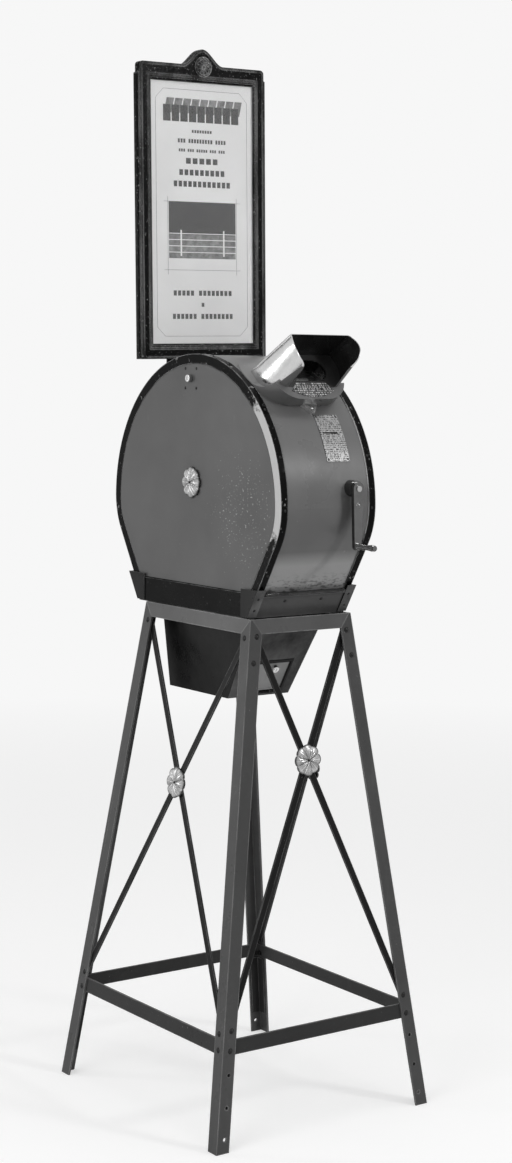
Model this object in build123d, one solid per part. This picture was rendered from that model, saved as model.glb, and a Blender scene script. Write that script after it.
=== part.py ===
from build123d import *
import math
import os

# Coin-operated card viewer on a tall stand. Millimetres, +Z up, the front faces -Y.
# The stand is centred left to right; its middle lies a little behind the origin.

# Stand of angle iron
stand_y = 8.86
stand_height = 875.0
top_half_x = 106.4
top_half_y = 161.8
foot_half_x = 227.2
foot_half_y = 251.6
angle_width = 25.4
iron = 3.2
rail_width = 25.4
mitre_tip = 0.5
bottom_rail_z = 158.0
doubler_low_z = 40.0
doubler_width = 20.0

# Cross braces with a flower rosette where they meet
brace_width = 12.0
brace_thick = 3.2
brace_margin = 15.0
side_brace_top_z = stand_height - 32.0
side_brace_foot_z = 193.0
front_brace_top_z = stand_height - 29.0
front_brace_foot_z = 199.0
petal_count = 8
petal_radius = 12.0
petal_circle = 15.5
petal_height = 6.5

# Bolts of the stand
bolt_radius = 3.0
bolt_head_radius = 5.0
bolt_head_height = 2.6
bolt_slack = 0.2
leg_hole_levels = (127.0, 74.0, 23.0)
upper_bolt_z = stand_height - 73.0

# Cabinet: a drum whose lower sides taper in to a tray
drum_y = stand_y + 22.0
drum_z = stand_height + 187.0
drum_radius = 254.5
shoulder_radius = 120.0
base_half = drum_radius - 57.5
base_z = stand_height + 59.0
taper = math.radians(31.0)
cabinet_half = 99.3
sheet = 2.0
rim_iron = 2.0
rim_face = 15.0
rim_band = 12.0
panel_gap = 0.6
seat_gap = 0.6
seat_depth = 24.0

# Tray under the cabinet
tray_height = 37.0
tray_plate = 3.0
tray_floor_thick = 4.0
tray_slack = 0.4
side_band_height = 43.0
ear_height = 50.0
ear_width = 16.0
ear_iron = 2.4
bar_height = 5.0

# Coin housing under the tray
belly_top_half = 78.5
belly_foot_half = 67.0
belly_foot_z = stand_height - 153.0
belly_front_top_y = stand_y - 134.0
belly_back_top_y = stand_y + 152.0
belly_front_foot_y = stand_y - 41.0
belly_back_foot_y = stand_y + 142.0
coin_door_width = 90.0
coin_door_height = 66.0
coin_door_z = stand_height - 114.0
door_gap = 0.5
coin_lock_x = 8.0
coin_lock_rise = 17.0
coin_cam_reach = 20.0
lock_radius = 5.0
lock_fit = 0.06
hinge_radius = 2.6
hinge_pin_radius = 1.2
hinge_fit = 0.06

# Reel of cards and its worm drive
reel_y = stand_y + 3.0
reel_z = drum_z - 25.0
reel_shaft_radius = 6.0
reel_hub_radius = 58.0
reel_disc_radius = 96.0
card_radius = 132.0
card_half = 24.0
leaf_count = 90
leaf_step = 4.0
disc_thick = 2.0
tooth_count = 40
tooth_module = 2.4
worm_radius = 11.0
worm_turns = 4
thread_thick = 2.6
flank = math.radians(14.5)
wheel_width = 10.0
bearing_fit = 0.05

# Crank at the front
crank_x = 48.5
crank_shaft_radius = 5.0
crank_boss_radius = 14.0
crank_boss_reach = 15.0
crank_hub_radius = 11.0
crank_arm_thick = 7.0
crank_length = 97.0
crank_end_radius = 7.0
grip_length = 42.0
grip_radius = 5.8
grip_pin_radius = 2.6

# Viewing hood: a sheet tube that spreads towards the drum, seated in a flared collar
hood_tilt = math.radians(33.0)
hood_reach = drum_radius + 90.3
hood_offset = 121.8
hood_half_width = 64.0
hood_depth = 59.2
hood_corner = 6.0
hood_bulge = 5.0
hood_spread = 0.043
hood_sink = 0.09
hood_wall = 1.6
hood_far = 150.0
collar_top = 64.0
collar_top_half_width = 75.0
collar_top_half_height = 47.0
collar_top_drop = 39.0
collar_foot = 135.0
collar_foot_half_width = 97.0
collar_foot_half_height = 58.0
collar_foot_drop = 18.0
flange_thick = 3.5
catch_angle = 39.4
window_drop = 30.0
lens_half_width = 42.0
lens_half_height = 21.0

# Coin entry plate on the front of the drum
plate_x = 5.0
plate_width = 48.0
plate_low_angle = 18.0
plate_high_angle = 37.5
plate_thick = 1.2
slot_angle = 29.5
slot_x = 26.0
slot_width = 31.0
slot_height = 3.2
chute_gap = 5.0
chute_wall = 1.0
chute_slack = 0.6
chute_stop_rise = 9.0

# Sign above the cabinet
sign_y = stand_y + 137.0
sign_low_z = drum_z + drum_radius - 5.7
sign_half = 136.7
sign_height = 516.2
sign_thick = 16.0
sign_side = 28.0
sign_top = 30.5
sign_foot = 27.0
sign_lean = 1.2
crest_height = 23.0
crest_half = 43.0
medallion_radius = 18.0
glass_thick = 2.0
poster_thick = 0.6
back_thick = 4.0
bracket_x = 62.0

# Lamp over the cards
lamp_y = stand_y + 60.0
lamp_x = -30.0
lamp_radius = 15.0


def block(x0, x1, y0, y1, z0, z1):
    """Box between two corners."""
    box = Box(x1 - x0, y1 - y0, z1 - z0)
    return Pos((x0 + x1) / 2, (y0 + y1) / 2, (z0 + z1) / 2) * box


def rod(start, axis, radius, length):
    """Cylinder that starts at a point and runs along an axis."""
    solid = Cylinder(radius, length, align=(Align.CENTER, Align.CENTER, Align.MIN))
    return Plane(origin=start, z_dir=axis).location * solid


def side_slab(face, x0, x1):
    """Flat face drawn with Y and Z as its axes, made solid from x0 to x1."""
    return extrude(Plane.YZ.offset(x0) * face, amount=x1 - x0, dir=(1, 0, 0))


def tapered(z_low, low, z_high, high):
    """Solid between two level polygons with as many corners."""
    low_wire = Wire.make_polygon([Vector(x, y, z_low) for x, y in low])
    high_wire = Wire.make_polygon([Vector(x, y, z_high) for x, y in high])
    return Solid.make_loft([low_wire, high_wire], ruled=True)


def save(name, *solids):
    """Write one named piece, or one group of like pieces."""
    shape = solids[0] if len(solids) == 1 else Compound(children=list(solids))
    export_step(shape, os.path.join("parts", name + ".step"))


os.makedirs("parts", exist_ok=True)

# The stand's four faces lean in; a corner line runs from the foot to the top.
lean_x = (foot_half_x - top_half_x) / stand_height
lean_y = (foot_half_y - top_half_y) / stand_height
iron_x = iron * math.hypot(1, lean_x)
iron_y = iron * math.hypot(1, lean_y)


def half_x(z):
    return foot_half_x - lean_x * z


def half_y(z):
    return foot_half_y - lean_y * z


def angle_section(side_x, side_y, z, inset_x, inset_y, width):
    """Corners of an angle iron cut level, with its heel towards the stand's corner."""
    heel_x = half_x(z) - inset_x
    heel_y = half_y(z) - inset_y
    outline = [
        (heel_x, heel_y),
        (heel_x - width, heel_y),
        (heel_x - width, heel_y - iron_y),
        (heel_x - iron_x, heel_y - iron_y),
        (heel_x - iron_x, heel_y - width),
        (heel_x, heel_y - width),
    ]
    return [(side_x * x, stand_y + side_y * y) for x, y in outline]


def angle_iron(side_x, side_y, z_low, z_high, inset_x, inset_y, width):
    return tapered(
        z_low,
        angle_section(side_x, side_y, z_low, inset_x, inset_y, width),
        z_high,
        angle_section(side_x, side_y, z_high, inset_x, inset_y, width),
    )


def side_bar(side, z_low, z_high, inset, low_gap, high_gap):
    """Flat bar in the stand's left or right face; the gaps are its ends' distances to the corners."""

    def section(z, gap):
        outer = side * (half_x(z) - inset)
        inner = side * (half_x(z) - inset - iron_x)
        end = half_y(z) - gap
        low_y = stand_y - end
        high_y = stand_y + end
        return [(outer, low_y), (inner, low_y), (inner, high_y), (outer, high_y)]

    return tapered(z_low, section(z_low, low_gap), z_high, section(z_high, high_gap))


def front_bar(side, z_low, z_high, inset, low_gap, high_gap):
    """The same bar in the stand's front or back face."""

    def section(z, gap):
        outer = stand_y + side * (half_y(z) - inset)
        inner = stand_y + side * (half_y(z) - inset - iron_y)
        end = half_x(z) - gap
        return [(-end, outer), (-end, inner), (end, inner), (end, outer)]

    return tapered(z_low, section(z_low, low_gap), z_high, section(z_high, high_gap))


top_rail_z = stand_height - rail_width
rail_top_z = bottom_rail_z + rail_width

# Top rails lie flush with the legs and meet them in mitres.
side_top_rails = []
for side in (-1, 1):
    rail = side_bar(side, top_rail_z, stand_height, 0, angle_width, mitre_tip)
    seat = block(
        top_half_x - angle_width,
        top_half_x - iron_x / 2,
        stand_y - top_half_y + angle_width,
        stand_y + top_half_y - angle_width,
        stand_height - iron,
        stand_height,
    )
    if side < 0:
        seat = mirror(seat, about=Plane.YZ)
    side_top_rails.append(rail + seat)
front_top_rails = []
for side in (-1, 1):
    front_top_rails.append(front_bar(side, top_rail_z, stand_height, 0, angle_width, iron_x))

# Bottom rails and braces are bolted behind the legs' flanges.
side_bottom_rails = []
front_bottom_rails = []
for side in (-1, 1):
    side_bottom_rails.append(
        side_bar(side, bottom_rail_z, rail_top_z, iron_x, iron_y, iron_y)
    )
    front_bottom_rails.append(
        front_bar(side, bottom_rail_z, rail_top_z, iron_y, 2 * iron_x, 2 * iron_x)
    )


def face_normal(face):
    axis, side = face
    if axis == "x":
        return Vector(side, 0, lean_x).normalized()
    return Vector(0, side, lean_y).normalized()


def face_point(face, across, z, depth):
    """Point of a leaning face of the stand, across from its middle and squarely below its skin."""
    axis, side = face
    if axis == "x":
        skin = Vector(side * half_x(z), stand_y + across, z)
    else:
        skin = Vector(across, stand_y + side * half_y(z), z)
    return skin - face_normal(face) * depth


left_face = ("x", -1)
right_face = ("x", 1)
front_face = ("y", -1)
back_face = ("y", 1)


def brace_ends(face):
    """Top and foot of a brace: distance from the face's middle line, and level."""
    if face[0] == "x":
        top = half_y(side_brace_top_z) - brace_margin
        foot = half_y(side_brace_foot_z) - brace_margin
        return (top, side_brace_top_z), (foot, side_brace_foot_z)
    top = half_x(front_brace_top_z) - brace_margin
    foot = half_x(front_brace_foot_z) - brace_margin
    return (top, front_brace_top_z), (foot, front_brace_foot_z)


def brace(face, hand, depth):
    """Flat bar from one leg's top to the other leg's foot, with rounded ends."""
    (top, top_z), (foot, foot_z) = brace_ends(face)
    start = face_point(face, -hand * top, top_z, depth)
    end = face_point(face, hand * foot, foot_z, depth)
    along = (end - start).normalized()
    length = (end - start).length
    bar = SlotCenterToCenter(length, brace_width)
    centre = (start + end) * 0.5
    plane = Plane(origin=centre, x_dir=along, z_dir=face_normal(face))
    return extrude(plane * bar, amount=-brace_thick)


def crossing(face, depth):
    (top, top_z), (foot, foot_z) = brace_ends(face)
    share = top / (top + foot)
    return face_point(face, 0, top_z + share * (foot_z - top_z), depth)


def rosette(seat, normal):
    """Flower of domed petals round a button, flat at the back."""
    sphere_radius = (petal_radius**2 + petal_height**2) / (2 * petal_height)
    flower = Pos(0, 0, petal_height + 1.5 - sphere_radius) * Sphere(sphere_radius)
    for petal in range(petal_count):
        turn = Rot(0, 0, petal * 360 / petal_count)
        flower += turn * Pos(petal_circle, 0, petal_height - sphere_radius) * Sphere(sphere_radius)
    reach = petal_circle + petal_radius + sphere_radius
    flower &= Pos(0, 0, reach) * Box(4 * reach, 4 * reach, 2 * reach)
    flower += Pos(0, 0, petal_height) * Cylinder(3.5, 3.4)
    flower -= Pos(0, 0, petal_height + 1.9) * Box(6, 0.9, 1.2)
    return Plane(origin=seat, z_dir=normal).location * flower


braced_faces = (left_face, right_face, front_face)
braces = []
rosettes = []
for face in braced_faces:
    braces.append(brace(face, 1, iron))
    braces.append(brace(face, -1, iron + brace_thick))
    rosettes.append(rosette(crossing(face, iron), face_normal(face)))


def bolt(face, across, z, grip):
    """Round-headed bolt through a leaning face, with its nut inside."""
    normal = face_normal(face)
    head = face_point(face, across, z, 0)
    cap_radius = (bolt_head_radius**2 + bolt_head_height**2) / (2 * bolt_head_height)
    cap = Pos(0, 0, bolt_head_height - cap_radius) * Sphere(cap_radius)
    cap &= Pos(0, 0, bolt_head_height) * Cylinder(bolt_head_radius + 1, 2 * bolt_head_height)
    shank = Pos(0, 0, -(grip + 3) / 2) * Cylinder(bolt_radius, grip + 3)
    nut = Pos(0, 0, -grip) * extrude(RegularPolygon(bolt_radius * 1.8, 6), amount=-3)
    return Plane(origin=head, z_dir=normal).location * (cap + shank + nut)


def bolt_hole(face, across, z):
    normal = face_normal(face)
    start = face_point(face, across, z, -5)
    return rod(start, normal * -1, bolt_radius + bolt_slack, 30)


bolts = []
holes = {}
spacers = []


def add_bolt(face, hand, across, z, grip):
    """One bolt, and the hole that it needs, kept under the leg that it goes through."""
    bolts.append(bolt(face, hand * across, z, grip))
    holes.setdefault((face, hand), []).append(bolt_hole(face, hand * across, z))


for face in (left_face, right_face, front_face, back_face):
    half = half_y if face[0] == "x" else half_x
    rail_z = bottom_rail_z + rail_width / 3
    rail_across = half(rail_z) - brace_margin
    for hand in (-1, 1):
        add_bolt(face, hand, rail_across, rail_z, 2 * iron)
    if face in braced_faces:
        (top, top_z), (foot, foot_z) = brace_ends(face)
        places = ((-1, top, top_z, 0), (1, foot, foot_z, 0), (1, top, top_z, 1), (-1, foot, foot_z, 1))
        for hand, across, z, layer in places:
            grip = iron + brace_thick * (layer + 1)
            add_bolt(face, hand, across, z, grip)
            if layer:
                washer = Pos(0, 0, -brace_thick / 2) * Cylinder(bolt_head_radius, brace_thick)
                washer -= Cylinder(bolt_radius + bolt_slack, 4 * brace_thick)
                seat = face_point(face, hand * across, z, iron)
                spacers.append(Plane(origin=seat, z_dir=face_normal(face)).location * washer)
for face in (front_face, back_face):
    for hand in (-1, 1):
        add_bolt(face, hand, half_x(upper_bolt_z) - brace_margin + 3, upper_bolt_z, iron)
foot_holes = {}
for face in (front_face, back_face):
    for hand in (-1, 1):
        places = [(hand * (half_x(z) - brace_margin), z) for z in leg_hole_levels]
        foot_holes[(face, hand)] = [bolt_hole(face, across, z) for across, z in places]


def drilled(solid, face, found):
    """The solid with its face's holes."""
    for hand in (-1, 1):
        for hole in found.get((face, hand), []):
            solid -= hole
    return solid


for side_y, front_name in ((-1, "front"), (1, "back")):
    for side_x, side_name in ((-1, "left"), (1, "right")):
        leg = angle_iron(side_x, side_y, 0, stand_height, 0, 0, angle_width)
        leg -= side_top_rails[0 if side_x < 0 else 1]
        leg -= front_top_rails[0 if side_y < 0 else 1]
        side_holes = holes.get((("x", side_x), side_y), [])
        front_holes = holes.get((("y", side_y), side_x), [])
        for hole in side_holes + front_holes + foot_holes[(("y", side_y), side_x)]:
            leg -= hole
        save("leg_" + front_name + "_" + side_name, leg)
doublers = []
for side_x in (-1, 1):
    for side_y in (-1, 1):
        doubler = angle_iron(
            side_x, side_y, doubler_low_z, bottom_rail_z - 3, iron_x, iron_y, doubler_width
        )
        doublers.append(doubler)
save("leg_doublers", *doublers)
save("top_rails_side", *side_top_rails)
save("top_rails_front_back", *front_top_rails)
side_bottom_rails = [drilled(side_bottom_rails[i], ("x", 2 * i - 1), holes) for i in (0, 1)]
front_bottom_rails = [drilled(front_bottom_rails[i], ("y", 2 * i - 1), holes) for i in (0, 1)]
save("bottom_rails_side", *side_bottom_rails)
save("bottom_rails_front_back", *front_bottom_rails)
save("braces", *[drilled(braces[i], braced_faces[i // 2], holes) for i in range(len(braces))])
save("stand_rosettes", *rosettes)
save("stand_bolts", *(bolts + spacers))

# Cabinet outline: a round top, two shoulder arcs and straight sides that taper in


def cabinet_face(grow, foot_z):
    """The cabinet's side outline, grown by a distance and cut off level at the foot."""
    slope = math.tan(taper)
    radius = drum_radius + grow
    shoulder = shoulder_radius + grow
    base = base_half + grow / math.cos(taper)

    def straight_half(z):
        return base + (z - base_z) * slope

    level = straight_half(drum_z) - shoulder / math.cos(taper)
    reach = radius - shoulder
    square = 1 + slope**2
    rise = (-level * slope + math.sqrt((level * slope) ** 2 - square * (level**2 - reach**2))) / square
    across = level + slope * rise

    def on_shoulder(angle):
        return (across + shoulder * math.cos(angle), drum_z + rise + shoulder * math.sin(angle))

    upper_angle = math.atan2(rise, across)
    upper = on_shoulder(upper_angle)
    middle = on_shoulder((upper_angle - taper) / 2)
    lower = on_shoulder(-taper)
    foot = (straight_half(foot_z), foot_z)

    def right(point):
        return (drum_y + point[0], point[1])

    def left(point):
        return (drum_y - point[0], point[1])

    wire = Wire([
        Line(right(foot), right(lower)),
        ThreePointArc(right(lower), right(middle), right(upper)),
        ThreePointArc(right(upper), (drum_y, drum_z + radius), left(upper)),
        ThreePointArc(left(upper), left(middle), left(lower)),
        Line(left(lower), left(foot)),
        Line(left(foot), right(foot)),
    ])
    return Face(wire)


def taper_half(grow, z):
    """Half the cabinet's depth at a level of its straight sides."""
    return base_half + grow / math.cos(taper) + (z - base_z) * math.tan(taper)


def drum_front(angle, radius):
    """Y and Z of a point on the drum's front, by its angle above level."""
    return drum_y - radius * math.cos(angle), drum_z + radius * math.sin(angle)


def sector(inner, outer, low_angle, high_angle):
    """Curved strip of the drum's front or back between two angles, in Y and Z."""
    low = math.radians(low_angle)
    high = math.radians(high_angle)
    middle = (low + high) / 2

    def at(radius, angle):
        return (drum_y - radius * math.cos(angle), drum_z + radius * math.sin(angle))

    return Face(Wire([
        ThreePointArc(at(outer, low), at(outer, middle), at(outer, high)),
        Line(at(outer, high), at(inner, high)),
        ThreePointArc(at(inner, high), at(inner, middle), at(inner, low)),
        Line(at(inner, low), at(outer, low)),
    ]))


floor_z = stand_height
floor_top_z = floor_z + tray_floor_thick
tray_top_z = floor_z + tray_height
panel_foot_z = floor_z + side_band_height + 1
inner_radius = drum_radius - sheet
rim_grow = rim_iron
rim_inner = rim_grow - rim_face - rim_iron
panel_grow = rim_inner - panel_gap
panel_face_x = cabinet_half
panel_back_x = panel_face_x - sheet
seat_x = panel_back_x - seat_gap
tray_inner = rim_grow + tray_slack
tray_outer = tray_inner + tray_plate
tray_half = cabinet_half + tray_slack
band_half = tray_half + tray_plate

# Hood frame: local X is the machine's X, local Y points up and back, local Z points out
# of the mouth. Its origin is the middle of the mouth's top edge.
mouth = Plane(
    origin=(
        0,
        drum_y - hood_reach * math.cos(hood_tilt) + hood_offset * math.sin(hood_tilt),
        drum_z + hood_reach * math.sin(hood_tilt) + hood_offset * math.cos(hood_tilt),
    ),
    x_dir=(1, 0, 0),
    z_dir=(0, -math.cos(hood_tilt), math.sin(hood_tilt)),
)


def rounded(half_width, half_height):
    """Long round-ended outline, centred."""
    return SlotOverall(2 * half_width, 2 * half_height)


def hood_slab(face, low, high):
    """Outline in the mouth's plane made solid between two distances from the mouth."""
    return mouth.location * Pos(0, 0, low) * extrude(face, amount=high - low, dir=(0, 0, 1))


def hood_section(depth, grow):
    """Outline of the hood's tube at a depth behind the mouth: flat top, bulging sides."""
    wide = hood_half_width + hood_spread * depth + grow
    top = hood_spread * depth + grow
    low = -hood_depth - hood_sink * depth - grow
    tall = top - low

    def at(x, share):
        return (x, top - share * tall)

    corner = hood_corner / tall
    edges = [Line(at(hood_corner - wide, 0), at(wide - hood_corner, 0))]
    for side in (1, -1):
        bends = [
            ((wide - hood_corner, 0), (wide - 0.29 * hood_corner, 0.29 * corner), (wide, corner)),
            ((wide, corner), (wide + hood_bulge, 0.4), (wide + 0.6 * hood_bulge, 0.67)),
            ((wide + 0.6 * hood_bulge, 0.67), (wide - 1.1 * hood_bulge, 0.885), (wide - 4 * hood_bulge, 1)),
        ]
        for bend in bends if side > 0 else [bend[::-1] for bend in bends[::-1]]:
            edges.append(ThreePointArc(*[at(side * x, share) for x, share in bend]))
        if side > 0:
            edges.append(Line(at(wide - 4 * hood_bulge, 1), at(4 * hood_bulge - wide, 1)))
    return mouth.location * Pos(0, 0, -depth) * Face(Wire(edges))


def hood_core(grow, near, far):
    """The tube's outline made solid between two depths behind the mouth."""
    return loft([hood_section(near, grow), hood_section(far, grow)], ruled=True)


wrapper = side_slab(cabinet_face(0, floor_top_z), -cabinet_half + rim_iron, cabinet_half - rim_iron)
wrapper -= side_slab(cabinet_face(-sheet, floor_top_z - 1), -cabinet_half, cabinet_half)
wrapper -= hood_core(-2 * hood_wall, collar_top, hood_far)

slot_turn = math.radians(slot_angle)
slot_mid = drum_front(slot_turn, drum_radius)
slot_plane = Plane(
    origin=(slot_x, slot_mid[0], slot_mid[1]),
    x_dir=(1, 0, 0),
    z_dir=(0, -math.cos(slot_turn), math.sin(slot_turn)),
)
slot_cut = slot_plane.location * Box(slot_width, slot_height, 12)
wrapper -= slot_cut
crank_z = reel_z + tooth_module * tooth_count / 2 + worm_radius
crank_wall_y = drum_y - math.sqrt(drum_radius**2 - (crank_z - drum_z) ** 2)
crank_front_y = crank_wall_y - crank_boss_reach
wrapper -= rod((crank_x, crank_wall_y - 20, crank_z), (0, 1, 0), crank_boss_radius, 60)

# Rims: angle iron bent round each side of the drum
rims = []
seats = []
for side in (-1, 1):
    face_low = cabinet_half - rim_iron
    low, high = sorted((side * face_low, side * cabinet_half))
    rim = side_slab(cabinet_face(rim_grow, floor_top_z), low, high)
    rim -= side_slab(cabinet_face(rim_inner, floor_top_z - 1), low - 1, high + 1)
    low, high = sorted((side * (face_low - rim_band), side * face_low))
    band = side_slab(cabinet_face(rim_grow, floor_top_z), low, high)
    band -= side_slab(cabinet_face(0, floor_top_z - 1), low - 1, high + 1)
    rims.append(rim + band)
    low, high = sorted((side * (seat_x - sheet), side * seat_x))
    seat = side_slab(cabinet_face(-sheet, floor_top_z), low, high)
    seat -= side_slab(cabinet_face(-seat_depth, panel_foot_z + 12), low - 1, high + 1)
    seats.append(seat)


def side_screw(side, y, z, base_x, head_radius=2.6):
    """Dome-headed screw in a side of the cabinet, its shank running inwards."""
    cap = Sphere(head_radius * 1.25)
    cap = Pos(0, 0, 1.6 - head_radius * 1.25) * cap
    cap &= Pos(0, 0, 5) * Cylinder(head_radius, 10)
    shank = Pos(0, 0, -sheet / 2) * Cylinder(1.2, sheet)
    return Plane(origin=(side * base_x, y, z), z_dir=(side, 0, 0)).location * (cap + shank)


rim_spots = []
for degrees in range(0, 181, 20):
    turn = math.radians(degrees)
    outward = Vector(0, math.cos(turn), math.sin(turn))
    rim_spots.append((Vector(0, drum_y, drum_z) + outward * (drum_radius + rim_grow), outward))
low_screw_z = base_z + 16
for side_y in (-1, 1):
    y = drum_y + side_y * taper_half(rim_grow, low_screw_z)
    outward = Vector(0, side_y * math.cos(taper), -math.sin(taper))
    rim_spots.append((Vector(0, y, low_screw_z), outward))
rim_screws = []
for spot, outward in rim_spots:
    for side in (-1, 1):
        place = spot + Vector(side * (cabinet_half - rim_band / 2 - rim_iron), 0, 0)
        head = Pos(0, 0, -1.6) * Sphere(3.0) & Pos(0, 0, 5) * Cylinder(2.5, 10)
        rim_screws.append(Plane(origin=place, z_dir=outward).location * head)


def cap_screw(radius, height):
    """Low domed screw head standing on the level Z = 0."""
    ball = (radius**2 + height**2) / (2 * height)
    return Pos(0, 0, height - ball) * Sphere(ball) & Pos(0, 0, ball) * Box(4 * ball, 4 * ball, 2 * ball)


def side_panel(side):
    low, high = sorted((side * panel_back_x, side * panel_face_x))
    return side_slab(cabinet_face(panel_grow, panel_foot_z), low, high)


rosette_y = drum_y + 6
rosette_z = drum_z + 34
side_lock_y = drum_y + 13
side_lock_z = drum_z + 214
left_panel = side_panel(-1) - rod(
    (-cabinet_half - 1, side_lock_y, side_lock_z), (1, 0, 0), lock_radius + lock_fit, 8
)
side_rosettes = []
for side in (-1, 1):
    side_rosettes.append(rosette(Vector(side * panel_face_x, rosette_y, rosette_z), Vector(side, 0, 0)))


def lock(shaft_length, cam_reach, cam_width):
    """Round key lock: cylinder with a key slot, its shaft along -Z and a cam at the end."""
    head = Pos(0, 0, lock_radius) * Cylinder(lock_radius + 1.6, 2 * lock_radius - 3.2)
    head = fillet(head.edges().group_by(Axis.Z)[-1], 1.5)
    shaft = Pos(0, 0, -shaft_length / 2 + 2) * Cylinder(lock_radius, shaft_length + 4)
    key = Pos(0, 0, 2 * lock_radius) * Box(1.2, lock_radius * 1.2, 6)
    cam = Pos(cam_reach / 2, 0, -shaft_length + 1) * Box(cam_reach, cam_width, 2)
    cam += Pos(0, 0, -shaft_length + 1) * Cylinder(cam_width / 2, 2)
    return head + shaft - key + cam


# The side lock's cam lies along the seat when unlocked and turns up behind it to lock.
side_lock_length = cabinet_half - seat_x + sheet + 3
side_lock_plane = Plane(
    origin=(-cabinet_half, side_lock_y, side_lock_z), x_dir=(0, 1, 0), z_dir=(-1, 0, 0)
)
side_lock = side_lock_plane.location * lock(side_lock_length, 24, 8)
panel_screws = []
for y in (-17, 17):
    for z in (-17, 17):
        panel_screws.append(side_screw(-1, side_lock_y + y, side_lock_z + z, cabinet_half))
        left_panel -= rod(
            (-cabinet_half - 1, side_lock_y + y, side_lock_z + z), (1, 0, 0), 1.2, 8
        )

# Tray: floor, two dark side bands, grey front and back plates, ears at the corners
tray_mask = block(-tray_half, tray_half, drum_y - 300, drum_y + 300, floor_z, tray_top_z)
tray_ring = side_slab(cabinet_face(tray_outer, floor_z), -tray_half, tray_half)
tray_ring -= side_slab(cabinet_face(tray_inner, floor_z - 1), -tray_half - 1, tray_half + 1)
tray_ring &= tray_mask
front_mask = block(-band_half, band_half, drum_y - 400, drum_y, floor_z, tray_top_z)
tray_front = tray_ring & front_mask
tray_back = tray_ring - front_mask
floor_half = taper_half(tray_inner, floor_z)
floor_top_half = taper_half(tray_inner, floor_top_z)
tray_floor = tapered(
    floor_z,
    [
        (-tray_half, drum_y - floor_half),
        (tray_half, drum_y - floor_half),
        (tray_half, drum_y + floor_half),
        (-tray_half, drum_y + floor_half),
    ],
    floor_top_z,
    [
        (-tray_half, drum_y - floor_top_half),
        (tray_half, drum_y - floor_top_half),
        (tray_half, drum_y + floor_top_half),
        (-tray_half, drum_y + floor_top_half),
    ],
)
floor_open_half = belly_top_half - 20
tray_floor -= block(
    -floor_open_half,
    floor_open_half,
    belly_front_top_y + 20,
    belly_back_top_y - 20,
    floor_z - 1,
    floor_top_z + 1,
)
band_top_z = floor_z + side_band_height
side_bands = []
for side in (-1, 1):
    low, high = sorted((side * tray_half, side * band_half))
    band = side_slab(cabinet_face(tray_outer, floor_z), low, high)
    side_bands.append(band & block(-200, 200, drum_y - 300, drum_y + 300, floor_z, band_top_z))
ears = []
ear_half = band_half + ear_iron
ear_wrap = side_slab(cabinet_face(tray_outer + ear_iron, floor_z), -ear_half, ear_half)
ear_wrap -= side_slab(cabinet_face(tray_outer, floor_z - 1), -band_half, band_half)
for side_x in (-1, 1):
    for side_y in (-1, 1):
        low, high = sorted((side_x * (band_half + ear_iron), side_x * (band_half - ear_width)))
        reach = taper_half(tray_outer, floor_z)
        near, far = sorted((drum_y + side_y * (reach - ear_width), drum_y + side_y * 300))
        ears.append(ear_wrap & block(low, high, near, far, floor_z + 2, floor_z + ear_height))
front_lip = side_slab(
    cabinet_face(tray_outer + ear_iron, floor_z), -band_half + ear_width, band_half - ear_width
)
front_lip -= side_slab(cabinet_face(tray_inner, floor_z - 1), -200, 200)
front_lip &= block(-200, 200, drum_y - 300, drum_y, tray_top_z, tray_top_z + bar_height)
taper_normal = Vector(0, -math.cos(taper), -math.sin(taper))
tray_screws = []
for x in (-36, 41):
    z = tray_top_z - 9
    y = drum_y - taper_half(tray_outer, z)
    tray_screws.append(Plane(origin=(x, y, z), z_dir=taper_normal).location * cap_screw(3.2, 1.8))
for side_x in (-1, 1):
    for z in (floor_z + 14, floor_z + 34):
        y = drum_y - taper_half(tray_outer + ear_iron, z)
        x = side_x * (band_half - ear_width / 2 + 1)
        tray_screws.append(Plane(origin=(x, y, z), z_dir=taper_normal).location * cap_screw(2.6, 1.4))


# Coin housing: a hopper hung under the tray, its front sloping like the drum's sides
def belly_section(inset, foot):
    half = (belly_foot_half if foot else belly_top_half) - inset
    front = (belly_front_foot_y if foot else belly_front_top_y) + inset * 1.2
    back = (belly_back_foot_y if foot else belly_back_top_y) - inset
    return [(-half, front), (half, front), (half, back), (-half, back)]


belly = tapered(belly_foot_z, belly_section(0, True), floor_z, belly_section(0, False))
front_edges = belly.edges().filter_by(lambda edge: edge.length > 150).sort_by(Axis.Y)[:2]
belly = fillet(front_edges, 6)
hollow = tapered(belly_foot_z, belly_section(sheet, True), floor_z, belly_section(sheet, False))
belly -= hollow & block(-200, 200, -300, 300, belly_foot_z + sheet, floor_z + 1)
belly_lean = math.atan2(belly_front_foot_y - belly_front_top_y, floor_z - belly_foot_z)


def belly_front(z):
    share = (floor_z - z) / (floor_z - belly_foot_z)
    return belly_front_top_y + share * (belly_front_foot_y - belly_front_top_y)


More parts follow.
